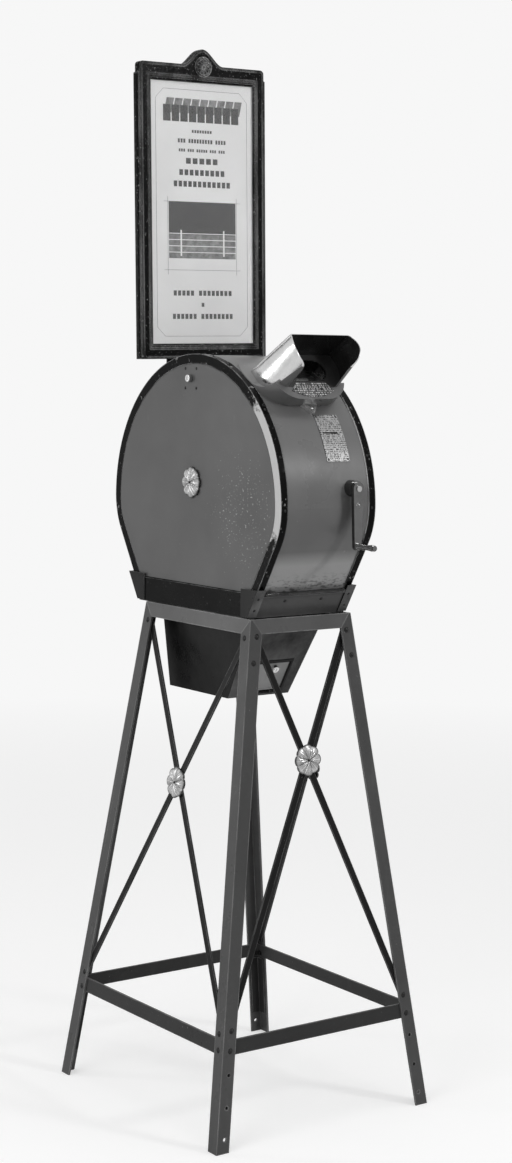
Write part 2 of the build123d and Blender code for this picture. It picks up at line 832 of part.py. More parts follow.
door_plane = Plane(
    origin=(0, belly_front(coin_door_z), coin_door_z),
    x_dir=(1, 0, 0),
    z_dir=(0, -math.cos(belly_lean), -math.sin(belly_lean)),
)
door_hole = Box(coin_door_width + 2 * door_gap, coin_door_height + 2 * door_gap, 12)
belly -= door_plane.location * door_hole
coin_door = Pos(0, 0, -sheet / 2) * Box(coin_door_width, coin_door_height, sheet)
border = Pos(0, 0, 0.6) * Box(coin_door_width, coin_door_height, 1.2)
border -= Pos(0, 0, 0.6) * Box(coin_door_width - 8, coin_door_height - 8, 2)
coin_door += border
hinge_y = -coin_door_height / 2 - 3.4
hinge_z = hinge_radius + 0.4
barrel = Rot(0, 90, 0) * Cylinder(hinge_radius, 30)
pin_bore = Rot(0, 90, 0) * Cylinder(hinge_pin_radius + hinge_fit, 100)
leaf = block(-15, 15, hinge_y, -coin_door_height / 2 + 4, 0, 1.2)
coin_door += leaf + Pos(0, hinge_y, hinge_z) * barrel
coin_door -= Pos(0, hinge_y, hinge_z) * pin_bore
coin_door -= Pos(coin_lock_x, coin_lock_rise, 0) * Cylinder(lock_radius + lock_fit, 20)
coin_door = door_plane.location * coin_door
hinge_parts = []
for side in (-1, 1):
    knuckle = Pos(side * 22.8, 0, hinge_z) * Rot(0, 90, 0) * Cylinder(hinge_radius, 15)
    tab = block(side * 22.8 - 7.5, side * 22.8 + 7.5, -6.4, 0, 0, 1.2)
    hinge_parts.append(knuckle + tab)
hinge_pin = Pos(0, 0, hinge_z) * Rot(0, 90, 0) * Cylinder(hinge_pin_radius, 60.6)
coin_hinge = hinge_parts[0] + hinge_parts[1] + hinge_pin
coin_hinge = door_plane.location * Pos(0, hinge_y, 0) * coin_hinge
coin_lock = Pos(coin_lock_x, coin_lock_rise, 0) * lock(sheet + 4, coin_cam_reach, 7)
coin_lock = door_plane.location * coin_lock

cash_front_y = belly_front(coin_door_z + coin_door_height / 2) + 62
cash_box = block(-40, 40, cash_front_y, cash_front_y + 130, belly_foot_z + sheet, belly_foot_z + 62)
cash_box -= block(-38.5, 38.5, cash_front_y + 1.5, cash_front_y + 128.5, belly_foot_z + 3.5, floor_z)

# Chute from the coin slot down behind the drum's front to the housing
chute_width = slot_width + chute_slack
slot_in = drum_front(slot_turn, inner_radius - 4)
chute_path = Polyline(
    slot_in,
    (slot_in[0], drum_z - 50),
    (belly_front_top_y + 9, floor_top_z + 36),
    (belly_front_top_y + 46, floor_z - 35),
)
chute_outer = trace(chute_path, chute_gap + 2 * chute_wall)
chute_inner = trace(chute_path, chute_gap)
chute_half = chute_width / 2 + chute_wall
chute = side_slab(chute_outer, slot_x - chute_half, slot_x + chute_half)
chute -= side_slab(chute_inner, slot_x - chute_width / 2, slot_x + chute_width / 2)
chute_back_y = slot_in[0] + chute_gap / 2
chute += block(
    slot_x - chute_half,
    slot_x + chute_half,
    chute_back_y,
    chute_back_y + chute_wall,
    slot_in[1] - chute_stop_rise,
    slot_in[1] + chute_stop_rise,
)

# Instruction plate with the coin slot
coin_plate = side_slab(
    sector(drum_radius, drum_radius + plate_thick, plate_low_angle, plate_high_angle),
    plate_x,
    plate_x + plate_width,
)
coin_plate -= slot_cut
plate_screws = []
for x in (plate_x + 3.5, plate_x + plate_width - 3.5):
    for degrees in (plate_low_angle + 0.9, plate_high_angle - 0.9):
        turn = math.radians(degrees)
        y, z = drum_front(turn, drum_radius + plate_thick)
        normal = Vector(0, -math.cos(turn), math.sin(turn))
        plate_screws.append(Plane(origin=(x, y, z), z_dir=normal).location * cap_screw(1.8, 1.0))

# Viewing hood. Side views are drawn with the mouth's Y and Z: first the front edge, which
# runs down the cheek and back along the cut-out for the nose, then the collar's upper edge.
front_curve = [
    (0, 0.5), (-10, 4.8), (-21, 7.7), (-37, 7.2), (-46, 3.9), (-53, -1), (-57, -10),
    (-59, -26), (-60.5, -44.5), (-62.2, -collar_top),
]
front_low = front_curve[-1]
front_space = Face(Wire([
    Spline(*front_curve),
    Line(front_low, (2 * front_low[0], -collar_top)),
    Line((2 * front_low[0], -collar_top), (2 * front_low[0], collar_top)),
    Line((2 * front_low[0], collar_top), (collar_top, collar_top)),
    Line((collar_top, collar_top), (collar_top, 0.5)),
    Line((collar_top, 0.5), (0, 0.5)),
]))
collar_curve = [
    (-56.5, 12), (-57, -10), (-55.5, -35), (-54.5, -53), (-51, -80), (-43, -94),
    (-30, -104), (-11, -115), (7, -125),
]
collar_space = Face(Wire([
    Spline(*collar_curve),
    Line((7, -125), (40, -hood_far)),
    Line((40, -hood_far), (-hood_far, -hood_far)),
    Line((-hood_far, -hood_far), (-hood_far, 12)),
    Line((-hood_far, 12), (-56.5, 12)),
]))
hood_front = mouth.location * side_slab(front_space, -cabinet_half, cabinet_half)
below_collar = mouth.location * side_slab(collar_space, -cabinet_half, cabinet_half)
drum = side_slab(cabinet_face(0, floor_top_z), -cabinet_half, cabinet_half)
tube = hood_core(0, -collar_top / 4, hood_far) - hood_core(-hood_wall, -collar_top / 3, hood_far + 1)
tube = tube - hood_front - drum
hood = tube - below_collar
collar_foot_face = rounded(collar_foot_half_width, collar_foot_half_height)
collar_top_face = rounded(collar_top_half_width, collar_top_half_height)
flare = loft(
    [
        mouth.location * Pos(0, -collar_foot_drop, -collar_foot) * collar_foot_face,
        mouth.location * Pos(0, -collar_top_drop, -collar_top) * collar_top_face,
    ],
    ruled=True,
)
flange = rod(
    (-cabinet_half, drum_y, drum_z), (1, 0, 0), drum_radius + flange_thick, 2 * cabinet_half
)
collar = (flare & below_collar) + (flare & flange) - hood_core(-hood_wall, 0, hood_far)
collar = collar + (tube & below_collar) - hood - drum - rims[0] - rims[1]
baffle_low = collar_top + sheet
window = Pos(0, -window_drop) * rounded(lens_half_width, lens_half_height)
baffle = hood_core(-hood_wall, collar_top, baffle_low) - hood_slab(window, -baffle_low - 1, 0)
lens_face = Pos(0, -window_drop) * rounded(lens_half_width + 4, lens_half_height + 4)
lens = hood_slab(lens_face, -baffle_low - 5, -baffle_low)
plate_top = -window_drop - lens_half_height - 3
plate_low = plate_top - 16
maker_face = Face(Wire([
    Line((-lens_half_width + 12, plate_top), (lens_half_width - 12, plate_top)),
    Line((lens_half_width - 12, plate_top), (lens_half_width + 2, plate_low)),
    ThreePointArc(
        (lens_half_width + 2, plate_low),
        (0, 4 - collar_top_drop - collar_top_half_height),
        (-lens_half_width - 2, plate_low),
    ),
    Line((-lens_half_width - 2, plate_low), (-lens_half_width + 12, plate_top)),
]))
maker_plate = hood_slab(maker_face, -collar_top, -collar_top + plate_thick)
bracket_turn = math.radians(catch_angle)
bracket_y, bracket_z = drum_front(bracket_turn, drum_radius - 1)
bracket_plane = Plane(
    origin=(3, bracket_y, bracket_z),
    x_dir=(1, 0, 0),
    z_dir=(0, -math.cos(bracket_turn), math.sin(bracket_turn)),
)
bracket_face = make_face(Polyline((-17, 12), (17, 12), (2, -8), (-2, -8), (-17, 12)))
hood_catch = extrude(bracket_face, amount=7, dir=(0, 0, 1)) + Pos(1, 3, 7) * cap_screw(3, 1.6)
hood_catch = bracket_plane.location * hood_catch
hood_catch = hood_catch - collar - drum

# Crank: boss on the wrapper, shaft with its worm, arm and turning grip
boss_back = crank_wall_y + 8
crank_boss = rod((crank_x, crank_front_y, crank_z), (0, 1, 0), crank_boss_radius, boss_back - crank_front_y)
crank_boss -= rod(
    (crank_x, crank_front_y - 1, crank_z), (0, 1, 0), crank_shaft_radius + bearing_fit, 60
)
arm_back = crank_front_y - 0.3
arm_front = arm_back - crank_arm_thick
arm_face = make_hull(
    (Circle(crank_hub_radius).edges() + (Pos(0, -crank_length) * Circle(crank_end_radius)).edges())
)
arm_plane = Plane(origin=(crank_x, arm_back, crank_z), x_dir=(1, 0, 0), z_dir=(0, -1, 0))
crank_arm = extrude(arm_face, amount=crank_arm_thick, dir=(0, 0, 1))
crank_arm -= Cylinder(crank_shaft_radius, 4 * crank_arm_thick)
crank_arm -= Pos(0, -crank_length) * Cylinder(grip_pin_radius, 4 * crank_arm_thick)
crank_arm = arm_plane.location * crank_arm
clamp_screw = arm_plane.location * Pos(0, -28, crank_arm_thick) * cap_screw(5, 2.6)
rear_y = reel_y + 36
rear_bearing_length = 14
shaft_start = arm_front - 2
crank_shaft = rod(
    (crank_x, shaft_start, crank_z),
    (0, 1, 0),
    crank_shaft_radius,
    rear_y + rear_bearing_length + 1 - shaft_start,
)
pitch = math.pi * tooth_module
worm_length = (worm_turns + 1) * pitch
thread_root = worm_radius - 1.25 * tooth_module
thread_tip = worm_radius + tooth_module
worm_core = rod((crank_x, reel_y - worm_length / 2, crank_z), (0, 1, 0), thread_root, worm_length)
root_half = thread_thick / 2 + (worm_radius - thread_root + 0.5) * math.tan(flank)
tip_half = thread_thick / 2 - tooth_module * math.tan(flank)
thread_path = Helix(pitch, worm_turns * pitch, worm_radius)
thread_start = Plane(origin=(worm_radius, 0, 0), x_dir=(1, 0, 0), z_dir=(0, -1, 0))
thread_face = thread_start * make_face(Polyline(
    (thread_root - 0.5 - worm_radius, -root_half),
    (tooth_module, -tip_half),
    (tooth_module, tip_half),
    (thread_root - 0.5 - worm_radius, root_half),
    (thread_root - 0.5 - worm_radius, -root_half),
))
thread = sweep(thread_face, path=thread_path, is_frenet=True)
worm_plane = Plane(
    origin=(crank_x, reel_y - (worm_turns / 2 - 0.5) * pitch - pitch, crank_z),
    x_dir=(0, 0, -1),
    z_dir=(0, 1, 0),
)
crank_shaft = crank_shaft + worm_core + worm_plane.location * thread
grip_z = crank_z - crank_length
grip_start = arm_front - 0.3
grip_pin = rod(
    (crank_x, grip_start - grip_length - 0.3, grip_z),
    (0, 1, 0),
    grip_pin_radius,
    grip_length + 0.6 + crank_arm_thick + 0.3,
)
grip_pin += rod((crank_x, grip_start - grip_length - 2.8, grip_z), (0, 1, 0), 4.6, 2.5)
waist = grip_radius - 1.3
grip_outline = Face(Wire([
    Line((grip_pin_radius + lock_fit, 0), (grip_radius, 0)),
    Line((grip_radius, 0), (grip_radius, 4)),
    ThreePointArc((grip_radius, 4), (waist, grip_length / 2), (grip_radius, grip_length - 4)),
    Line((grip_radius, grip_length - 4), (grip_radius, grip_length)),
    Line((grip_radius, grip_length), (grip_pin_radius + lock_fit, grip_length)),
    Line((grip_pin_radius + lock_fit, grip_length), (grip_pin_radius + lock_fit, 0)),
]))
grip = revolve(Plane.XZ * grip_outline, axis=Axis.Z)
grip = Plane(origin=(crank_x, grip_start, grip_z), z_dir=(0, -1, 0)).location * grip

# Reel: shaft, hub, side discs, cards and worm wheel
wheel_low = crank_x - wheel_width / 2
wheel_high = crank_x + wheel_width / 2
frame_x = wheel_high + 26
frame_thick = 6
shaft_left = -card_half - disc_thick - 12
reel_shaft = rod(
    (shaft_left, reel_y, reel_z), (1, 0, 0), reel_shaft_radius, frame_x + frame_thick + 6 - shaft_left
)
reel_shaft += rod((shaft_left, reel_y, reel_z), (1, 0, 0), 13, 9)
collar_start = card_half + disc_thick
reel_shaft += rod((collar_start, reel_y, reel_z), (1, 0, 0), 11, wheel_low - collar_start)
reel_shaft += rod((wheel_high, reel_y, reel_z), (1, 0, 0), 10, 2)
reel_shaft += rod((frame_x + frame_thick + 0.4, reel_y, reel_z), (1, 0, 0), 10, 3)
centre = Pos(reel_y, reel_z)
reel_hub = side_slab(centre * (Circle(reel_hub_radius) - Circle(reel_shaft_radius)), -card_half, card_half)
disc = centre * (Circle(reel_disc_radius) - Circle(reel_shaft_radius))
for hole in range(6):
    turn = math.radians(60 * hole)
    disc -= Pos(reel_y + 38 * math.cos(turn), reel_z + 38 * math.sin(turn)) * Circle(11)
reel_discs = [
    side_slab(disc, -card_half - disc_thick, -card_half),
    side_slab(disc, card_half, card_half + disc_thick),
]
leaf_points = []
for leaf in range(leaf_count):
    low = 2 * math.pi * leaf / leaf_count
    high = 2 * math.pi * (leaf + 0.86) / leaf_count
    for radius, turn in ((card_radius, low), (card_radius - 0.6, high), (card_radius - leaf_step, high)):
        leaf_points.append((radius * math.cos(turn), radius * math.sin(turn)))
pack_face = Face(Wire.make_polygon([Vector(x, y) for x, y in leaf_points])) - Circle(reel_hub_radius)
card_pack = side_slab(centre * pack_face, -card_half, card_half)
wheel_radius = tooth_module * tooth_count / 2
tooth_root = wheel_radius - 1.25 * tooth_module
tooth_tip = wheel_radius + tooth_module


def tooth_half(radius):
    """Half the angle that a wheel tooth takes at a radius."""
    thick = thread_thick / 2 + (wheel_radius - radius) * math.tan(flank)
    return thick / wheel_radius


gear_points = []
for tooth in range(tooth_count):
    middle = math.pi / 2 + 2 * math.pi * tooth / tooth_count
    for radius, sign in ((tooth_root, -1), (tooth_tip, -1), (tooth_tip, 1), (tooth_root, 1)):
        turn = middle + sign * tooth_half(radius)
        gear_points.append((radius * math.cos(turn), radius * math.sin(turn)))
gear_face = Face(Wire.make_polygon([Vector(x, y) for x, y in gear_points])) - Circle(reel_shaft_radius)
worm_wheel = side_slab(centre * gear_face, wheel_low, wheel_high)

# Mechanism frame inside the right side: carries the reel, the worm's end and the card stop
stop_y = reel_y + math.sin(hood_tilt) * (card_radius + 9)
stop_z = reel_z + math.cos(hood_tilt) * (card_radius + 9)
frame_face = make_face(Polyline(
    (reel_y - 60, floor_top_z),
    (reel_y + 70, floor_top_z),
    (stop_y + 22, stop_z - 10),
    (stop_y + 8, stop_z + 14),
    (reel_y - 36, crank_z + 6),
    (reel_y - 60, floor_top_z),
))
mech_frame = side_slab(frame_face, frame_x, frame_x + frame_thick)
mech_frame += block(
    frame_x - 12, frame_x + 1, reel_y - 60, reel_y + 70, floor_top_z, floor_top_z + frame_thick
)
mech_frame += rod((wheel_high + 2.4, reel_y, reel_z), (1, 0, 0), 15, frame_x - wheel_high)
bearing_bore = rod((0, reel_y, reel_z), (1, 0, 0), reel_shaft_radius + bearing_fit, 120)
rear_block = rod((crank_x, rear_y, crank_z), (0, 1, 0), 12, rear_bearing_length)
rear_block += block(crank_x, frame_x + 1, rear_y, rear_y + rear_bearing_length, crank_z - 10, crank_z + 10)
rear_bore = rod((crank_x, rear_y - 1, crank_z), (0, 1, 0), crank_shaft_radius + bearing_fit, 60)
mech_frame = (mech_frame + rear_block) - bearing_bore - rear_bore
stop_rod = rod((-12, stop_y, stop_z), (1, 0, 0), 4, frame_x + 12)
stop_plane = Plane(
    origin=(0, reel_y, reel_z),
    x_dir=(1, 0, 0),
    z_dir=(0, math.sin(hood_tilt), math.cos(hood_tilt)),
)
finger = Pos(0, 0, card_radius + 0.4 + 3.5) * Box(14, 1.6, 7)
card_stop = stop_rod + stop_plane.location * finger

lamp_top = drum_z + math.sqrt(inner_radius**2 - (lamp_y - drum_y) ** 2)
lamp_low = lamp_top - 46
lamp_holder = rod((lamp_x, lamp_y, lamp_low), (0, 0, 1), lamp_radius - 1, 70)
lamp_holder &= side_slab(cabinet_face(-sheet, floor_top_z), -200, 200)
lamp = Pos(lamp_x, lamp_y, lamp_low - 18) * Sphere(lamp_radius)
lamp += rod((lamp_x, lamp_y, lamp_low - 12), (0, 0, 1), lamp_radius * 0.55, 12)

# Sign: moulded frame with a crest, glass, poster card and back, on two feet
sign_plane = Plane(origin=(0, sign_y, sign_low_z)).location * Rot(0, -sign_lean, 0)
rebate = 5.0
glass_y = 4.0


def sign_board(half, low, high, near, thick):
    return block(-half, half, near, near + thick, low, high)


open_half = sign_half - sign_side
open_low = sign_foot
open_high = sign_height - sign_top
sign_frame = sign_board(sign_half, 0, sign_height, 0, sign_thick)
sign_frame -= sign_board(open_half, open_low, open_high, -1, sign_thick + 2)
sign_frame -= sign_board(
    open_half + rebate, open_low - rebate, open_high + rebate, glass_y, sign_thick
)
shoulder_x = crest_half * 0.6
shoulder_z = crest_height * 0.35
crest_face = Face(Wire([
    Line((-crest_half, 0), (crest_half, 0)),
    ThreePointArc((crest_half, 0), (crest_half * 0.78, crest_height * 0.1), (shoulder_x, shoulder_z)),
    ThreePointArc((shoulder_x, shoulder_z), (0, crest_height), (-shoulder_x, shoulder_z)),
    ThreePointArc((-shoulder_x, shoulder_z), (-crest_half * 0.78, crest_height * 0.1), (-crest_half, 0)),
]))
crest_plane = Plane(origin=(0, 0, sign_height), x_dir=(1, 0, 0), z_dir=(0, -1, 0))
sign_frame += extrude(crest_plane * crest_face, amount=12, dir=(0, 1, 0))
medallion = Cylinder(medallion_radius, 3) + Pos(0, 0, 1.5) * Torus(medallion_radius - 2.5, 1.8)
sign_frame += crest_plane.location * Pos(0, -7, 1.0) * medallion
sign_glass = sign_board(
    open_half + rebate, open_low - rebate, open_high + rebate, glass_y, glass_thick
)
poster = sign_board(
    open_half + rebate, open_low - rebate, open_high + rebate, glass_y + glass_thick, poster_thick
)
sign_back = sign_board(
    open_half + rebate,
    open_low - rebate,
    open_high + rebate,
    glass_y + glass_thick + poster_thick,
    back_thick,
)
sign_feet = []
for side in (-1, 1):
    low, high = side * bracket_x - 9, side * bracket_x + 9
    strap = sign_plane * block(low, high, sign_thick, sign_thick + 3, -60, 110)
    foot = side_slab(sector(drum_radius, drum_radius + 3, 118, 133), low, high)
    sign_feet.append((strap + foot) - drum)

save("cabinet_wrapper", wrapper)
save("cabinet_rims", *rims)
save("panel_seats", *seats)
save("side_panel_right", side_panel(1))
save("side_rosette_right", side_rosettes[1])
save("tray_floor", tray_floor)
save("tray_front", tray_front + front_lip)
save("tray_back", tray_back)
save("tray_side_bands", *side_bands)
save("tray_ears", *ears)
save("coin_housing", belly)
save("coin_door_hinge", coin_hinge)
save("cash_box", cash_box)
save("coin_chute", chute)
save("instruction_plate", coin_plate)
save("cabinet_screws", *(rim_screws + tray_screws + plate_screws))
save("hood", hood)
save("hood_collar", collar)
save("hood_baffle", baffle)
save("hood_lens", lens)
save("hood_plate", maker_plate)
save("hood_catch", hood_catch)
save("crank_boss", crank_boss)
save("mechanism_frame", mech_frame)
save("card_stop", card_stop)
save("lamp_holder", lamp_holder)
save("lamp", lamp)
save("sign_frame", sign_plane * sign_frame)
save("sign_glass", sign_plane * sign_glass)
save("sign_poster", sign_plane * poster)
save("sign_back", sign_plane * sign_back)
save("sign_feet", *sign_feet)
save("side_panel_left", left_panel)
save("side_rosette_left", side_rosettes[0])
save("panel_screws", *panel_screws)
save("side_lock", side_lock)
save("coin_door", coin_door)
save("coin_lock", coin_lock)
save("crank_shaft", crank_shaft)
save("crank_arm", crank_arm)
save("crank_pins", clamp_screw, grip_pin)
save("grip", grip)
save("reel_shaft", reel_shaft)
save("reel_hub", reel_hub)
save("reel_discs", *reel_discs)
save("card_pack", card_pack)
save("worm_wheel", worm_wheel)
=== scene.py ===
import math

import bpy
from mathutils import Matrix, Vector


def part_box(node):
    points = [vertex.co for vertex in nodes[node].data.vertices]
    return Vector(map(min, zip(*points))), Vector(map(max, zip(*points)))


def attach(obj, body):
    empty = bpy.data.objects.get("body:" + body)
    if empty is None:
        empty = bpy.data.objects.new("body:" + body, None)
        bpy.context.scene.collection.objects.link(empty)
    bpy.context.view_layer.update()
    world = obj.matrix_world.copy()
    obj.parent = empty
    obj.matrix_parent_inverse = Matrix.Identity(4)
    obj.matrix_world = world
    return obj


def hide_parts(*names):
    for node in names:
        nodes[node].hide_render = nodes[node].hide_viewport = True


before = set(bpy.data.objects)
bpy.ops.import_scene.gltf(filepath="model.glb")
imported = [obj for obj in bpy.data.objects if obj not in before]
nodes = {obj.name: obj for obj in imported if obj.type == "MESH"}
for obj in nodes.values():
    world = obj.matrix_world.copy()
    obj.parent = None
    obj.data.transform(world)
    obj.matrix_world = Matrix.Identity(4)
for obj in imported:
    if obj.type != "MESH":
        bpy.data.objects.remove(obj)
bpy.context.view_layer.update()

scene = bpy.context.scene
scene.view_settings.view_transform = "Standard"
mm = 0.001

# Studio: a white floor that fades into a white backdrop, a large soft lamp on the left, one
# overhead, a smaller one on the right that throws the crank's shadow, and a strip behind.
stand_y = 8.86 * mm
eye = Vector((-2.1454, -3.0126 + stand_y, 1.2992))
yaw = math.radians(35.7076)
pitch = math.radians(5.854)
roll = math.radians(0.6962)
focal_pixels = 2105.64
picture_height = 1163
sensor = 36.0

forward = Vector((math.sin(yaw) * math.cos(pitch), math.cos(yaw) * math.cos(pitch), -math.sin(pitch)))
level_right = Vector((math.cos(yaw), -math.sin(yaw), 0))
level_up = level_right.cross(forward)
right = level_right * math.cos(roll) + level_up * math.sin(roll)
up = level_up * math.cos(roll) - level_right * math.sin(roll)

camera_data = bpy.data.cameras.new("photo_camera")
camera_data.sensor_fit = "VERTICAL"
camera_data.sensor_height = sensor
camera_data.lens = focal_pixels / picture_height * sensor
camera_data.clip_end = 60
camera = bpy.data.objects.new("photo_camera", camera_data)
camera.matrix_world = Matrix((
    (right.x, up.x, -forward.x, eye.x),
    (right.y, up.y, -forward.y, eye.y),
    (right.z, up.z, -forward.z, eye.z),
    (0, 0, 0, 1),
))
scene.collection.objects.link(camera)
scene.camera = camera


def math_step(tree, kind, *terms):
    """One step of arithmetic; each term is a socket or a fixed number."""
    node = tree.nodes.new("ShaderNodeMath")
    node.operation = kind
    for socket, term in zip(node.inputs, terms):
        if isinstance(term, (int, float)):
            socket.default_value = term
        else:
            tree.links.new(term, socket)
    return node.outputs[0]


def vector_step(tree, kind, *terms):
    """One step of vector arithmetic; each term is a socket or a fixed vector."""
    node = tree.nodes.new("ShaderNodeVectorMath")
    node.operation = kind
    for socket, term in zip(node.inputs, terms):
        if isinstance(term, (tuple, Vector)):
            socket.default_value = tuple(term)
        else:
            tree.links.new(term, socket)
    gives_number = kind in ("LENGTH", "DISTANCE", "DOT_PRODUCT")
    return node.outputs["Value" if gives_number else "Vector"]


def seen_directly(tree):
    """1 for the camera's, mirrored and refracted rays, 0 for the rest."""
    path = tree.nodes.new("ShaderNodeLightPath")
    bounced = math_step(tree, "MAXIMUM", path.outputs["Is Camera Ray"], path.outputs["Is Glossy Ray"])
    return math_step(tree, "MAXIMUM", bounced, path.outputs["Is Transmission Ray"])


def level(tree, source, low, high, low_value, high_value):
    """A number that runs from one value to another as the source runs between two levels."""
    node = tree.nodes.new("ShaderNodeMapRange")
    values = (low, high, low_value, high_value)
    for socket, value in zip(("From Min", "From Max", "To Min", "To Max"), values):
        node.inputs[socket].default_value = value
    tree.links.new(source, node.inputs["Value"])
    return node.outputs["Result"]


backdrop_white = 0.93
world = bpy.data.worlds.new("studio")
scene.world = world
world.use_nodes = True
tree = world.node_tree
tree.nodes.clear()
soft = tree.nodes.new("ShaderNodeBackground")
soft.inputs["Color"].default_value = (1, 1, 1, 1)
soft.inputs["Strength"].default_value = 0.3
white = tree.nodes.new("ShaderNodeBackground")
white.inputs["Color"].default_value = (backdrop_white, backdrop_white, backdrop_white, 1)
white.inputs["Strength"].default_value = 1.0
either = tree.nodes.new("ShaderNodeMixShader")
tree.links.new(seen_directly(tree), either.inputs["Fac"])
tree.links.new(soft.outputs[0], either.inputs[1])
tree.links.new(white.outputs[0], either.inputs[2])
sky = tree.nodes.new("ShaderNodeOutputWorld")
tree.links.new(either.outputs[0], sky.inputs["Surface"])

floor_size = 14.0
floor_mesh = bpy.data.meshes.new("floor")
corner = floor_size / 2
floor_mesh.from_pydata(
    [(-corner, -corner, 0), (corner, -corner, 0), (corner, corner, 0), (-corner, corner, 0)],
    [],
    [(0, 1, 2, 3)],
)
floor = bpy.data.objects.new("floor", floor_mesh)
scene.collection.objects.link(floor)
floor_paper = bpy.data.materials.new("floor_paper")
floor_paper.use_nodes = True
tree = floor_paper.node_tree
tree.nodes.clear()
matt = tree.nodes.new("ShaderNodeBsdfDiffuse")
matt.inputs["Color"].default_value = (0.62, 0.62, 0.62, 1)
glow = tree.nodes.new("ShaderNodeEmission")
glow.inputs["Color"].default_value = (1, 1, 1, 1)
tree.links.new(math_step(tree, "MULTIPLY", seen_directly(tree), 0.5), glow.inputs["Strength"])
near_floor = tree.nodes.new("ShaderNodeAddShader")
tree.links.new(matt.outputs[0], near_floor.inputs[0])
tree.links.new(glow.outputs[0], near_floor.inputs[1])
far_glow = tree.nodes.new("ShaderNodeEmission")
far_glow.inputs["Color"].default_value = (backdrop_white, backdrop_white, backdrop_white, 1)
tree.links.new(seen_directly(tree), far_glow.inputs["Strength"])
floor_place = tree.nodes.new("ShaderNodeTexCoord")
distance = vector_step(tree, "LENGTH", floor_place.outputs["Object"])
fade_start = 0.9
fade_end = 4.5
fade = level(tree, distance, fade_start, fade_end, 0.0, 1.0)
both = tree.nodes.new("ShaderNodeMixShader")
tree.links.new(fade, both.inputs["Fac"])
tree.links.new(near_floor.outputs[0], both.inputs[1])
tree.links.new(far_glow.outputs[0], both.inputs[2])
ground = tree.nodes.new("ShaderNodeOutputMaterial")
tree.links.new(both.outputs[0], ground.inputs["Surface"])
floor_mesh.materials.append(floor_paper)


def soft_lamp(name, place, target, width, height, watts):
    """A rectangular lamp that looks at a target."""
    data = bpy.data.lights.new(name, "AREA")
    data.shape = "RECTANGLE"
    data.size = width
    data.size_y = height
    data.energy = watts
    lamp = bpy.data.objects.new(name, data)
    lamp.location = place
    lamp.rotation_euler = (Vector(target) - Vector(place)).to_track_quat("-Z", "Y").to_euler()
    scene.collection.objects.link(lamp)
    return lamp


soft_lamp("left_lamp", (-3.6, -1.2, 2.4), (0, 0, 0.9), 2.4, 2.4, 50)
soft_lamp("right_lamp", (1.6, -3.2, 2.7), (0, 0, 1.0), 0.5, 0.5, 34)
soft_lamp("top_lamp", (0.2, -0.4, 4.2), (0, 0, 0.8), 2.6, 2.6, 40)
soft_lamp("strip_lamp", (-2.3, 2.2, 1.15), (0, 0, 1.1), 0.35, 1.6, 12)


# Stand: four legs and two top rails of one-inch angle iron in grey enamel, with flat doubler
# irons inside the feet and mitred rails at the top.
def new_material(name, roughness, metallic=0.0):
    """A material and its main shader."""
    material = bpy.data.materials.new(name)
    material.use_nodes = True
    shader = material.node_tree.nodes["Principled BSDF"]
    shader.inputs["Roughness"].default_value = roughness
    shader.inputs["Metallic"].default_value = metallic
    return material, shader


def place_noise(tree, scale, detail=4.0, stretch=(1, 1, 1), roughness=0.6):
    """Noise in the part's own space."""
    place = tree.nodes.new("ShaderNodeTexCoord")
    mapping = tree.nodes.new("ShaderNodeMapping")
    mapping.inputs["Scale"].default_value = stretch
    noise = tree.nodes.new("ShaderNodeTexNoise")
    noise.inputs["Scale"].default_value = scale
    noise.inputs["Detail"].default_value = detail
    noise.inputs["Roughness"].default_value = roughness
    tree.links.new(place.outputs["Object"], mapping.inputs["Vector"])
    tree.links.new(mapping.outputs["Vector"], noise.inputs["Vector"])
    return noise.outputs["Fac"]


def ramp(tree, source, low, low_colour, high, high_colour):
    """Two colours with a soft step between two levels of the source."""
    node = tree.nodes.new("ShaderNodeValToRGB")
    first, last = node.color_ramp.elements
    first.position = low
    first.color = (*low_colour, 1)
    last.position = high
    last.color = (*high_colour, 1)
    tree.links.new(source, node.inputs["Fac"])
    return node.outputs["Color"]


def laid_over(tree, under, over, share):
    """The second colour over the first by a share."""
    node = tree.nodes.new("ShaderNodeMix")
    node.data_type = "RGBA"
    tree.links.new(share, node.inputs["Factor"])
    tree.links.new(under, node.inputs[6])
    if isinstance(over, tuple):
        node.inputs[7].default_value = (*over, 1)
    else:
        tree.links.new(over, node.inputs[7])
    return node.outputs[2]


def relief(tree, shader, source, depth, under=None):
    """Small bumps from a source, over any that are there."""
    node = tree.nodes.new("ShaderNodeBump")
    node.inputs["Strength"].default_value = 1.0
    node.inputs["Distance"].default_value = depth
    tree.links.new(source, node.inputs["Height"])
    if under is not None:
        tree.links.new(under, node.inputs["Normal"])
    tree.links.new(node.outputs["Normal"], shader.inputs["Normal"])
    return node.outputs["Normal"]


def grey(value):
    """A neutral colour."""
    return (value, value, value)


def edge_wear_and_highlight(tree, patches):
    """A thin light line along each sharp edge, broken by patches: rubbed paint and a painted highlight."""
    round_over = tree.nodes.new("ShaderNodeBevel")
    round_over.samples = 4
    round_over.inputs["Radius"].default_value = 2.6 * mm
    shape = tree.nodes.new("ShaderNodeNewGeometry")
    turned = vector_step(tree, "DOT_PRODUCT", round_over.outputs["Normal"], shape.outputs["Normal"])
    line = level(tree, turned, 0.99, 0.95, 0.0, 1.0)
    return math_step(tree, "MULTIPLY", line, level(tree, patches, 0.38, 0.58, 0.2, 0.95))


def place_axes(tree, kind="Object"):
    """The part's own place, or with Normal its surface's direction, as one socket for each axis."""
    place = tree.nodes.new("ShaderNodeTexCoord")
    axes = tree.nodes.new("ShaderNodeSeparateXYZ")
    tree.links.new(place.outputs[kind], axes.inputs[0])
    return axes.outputs


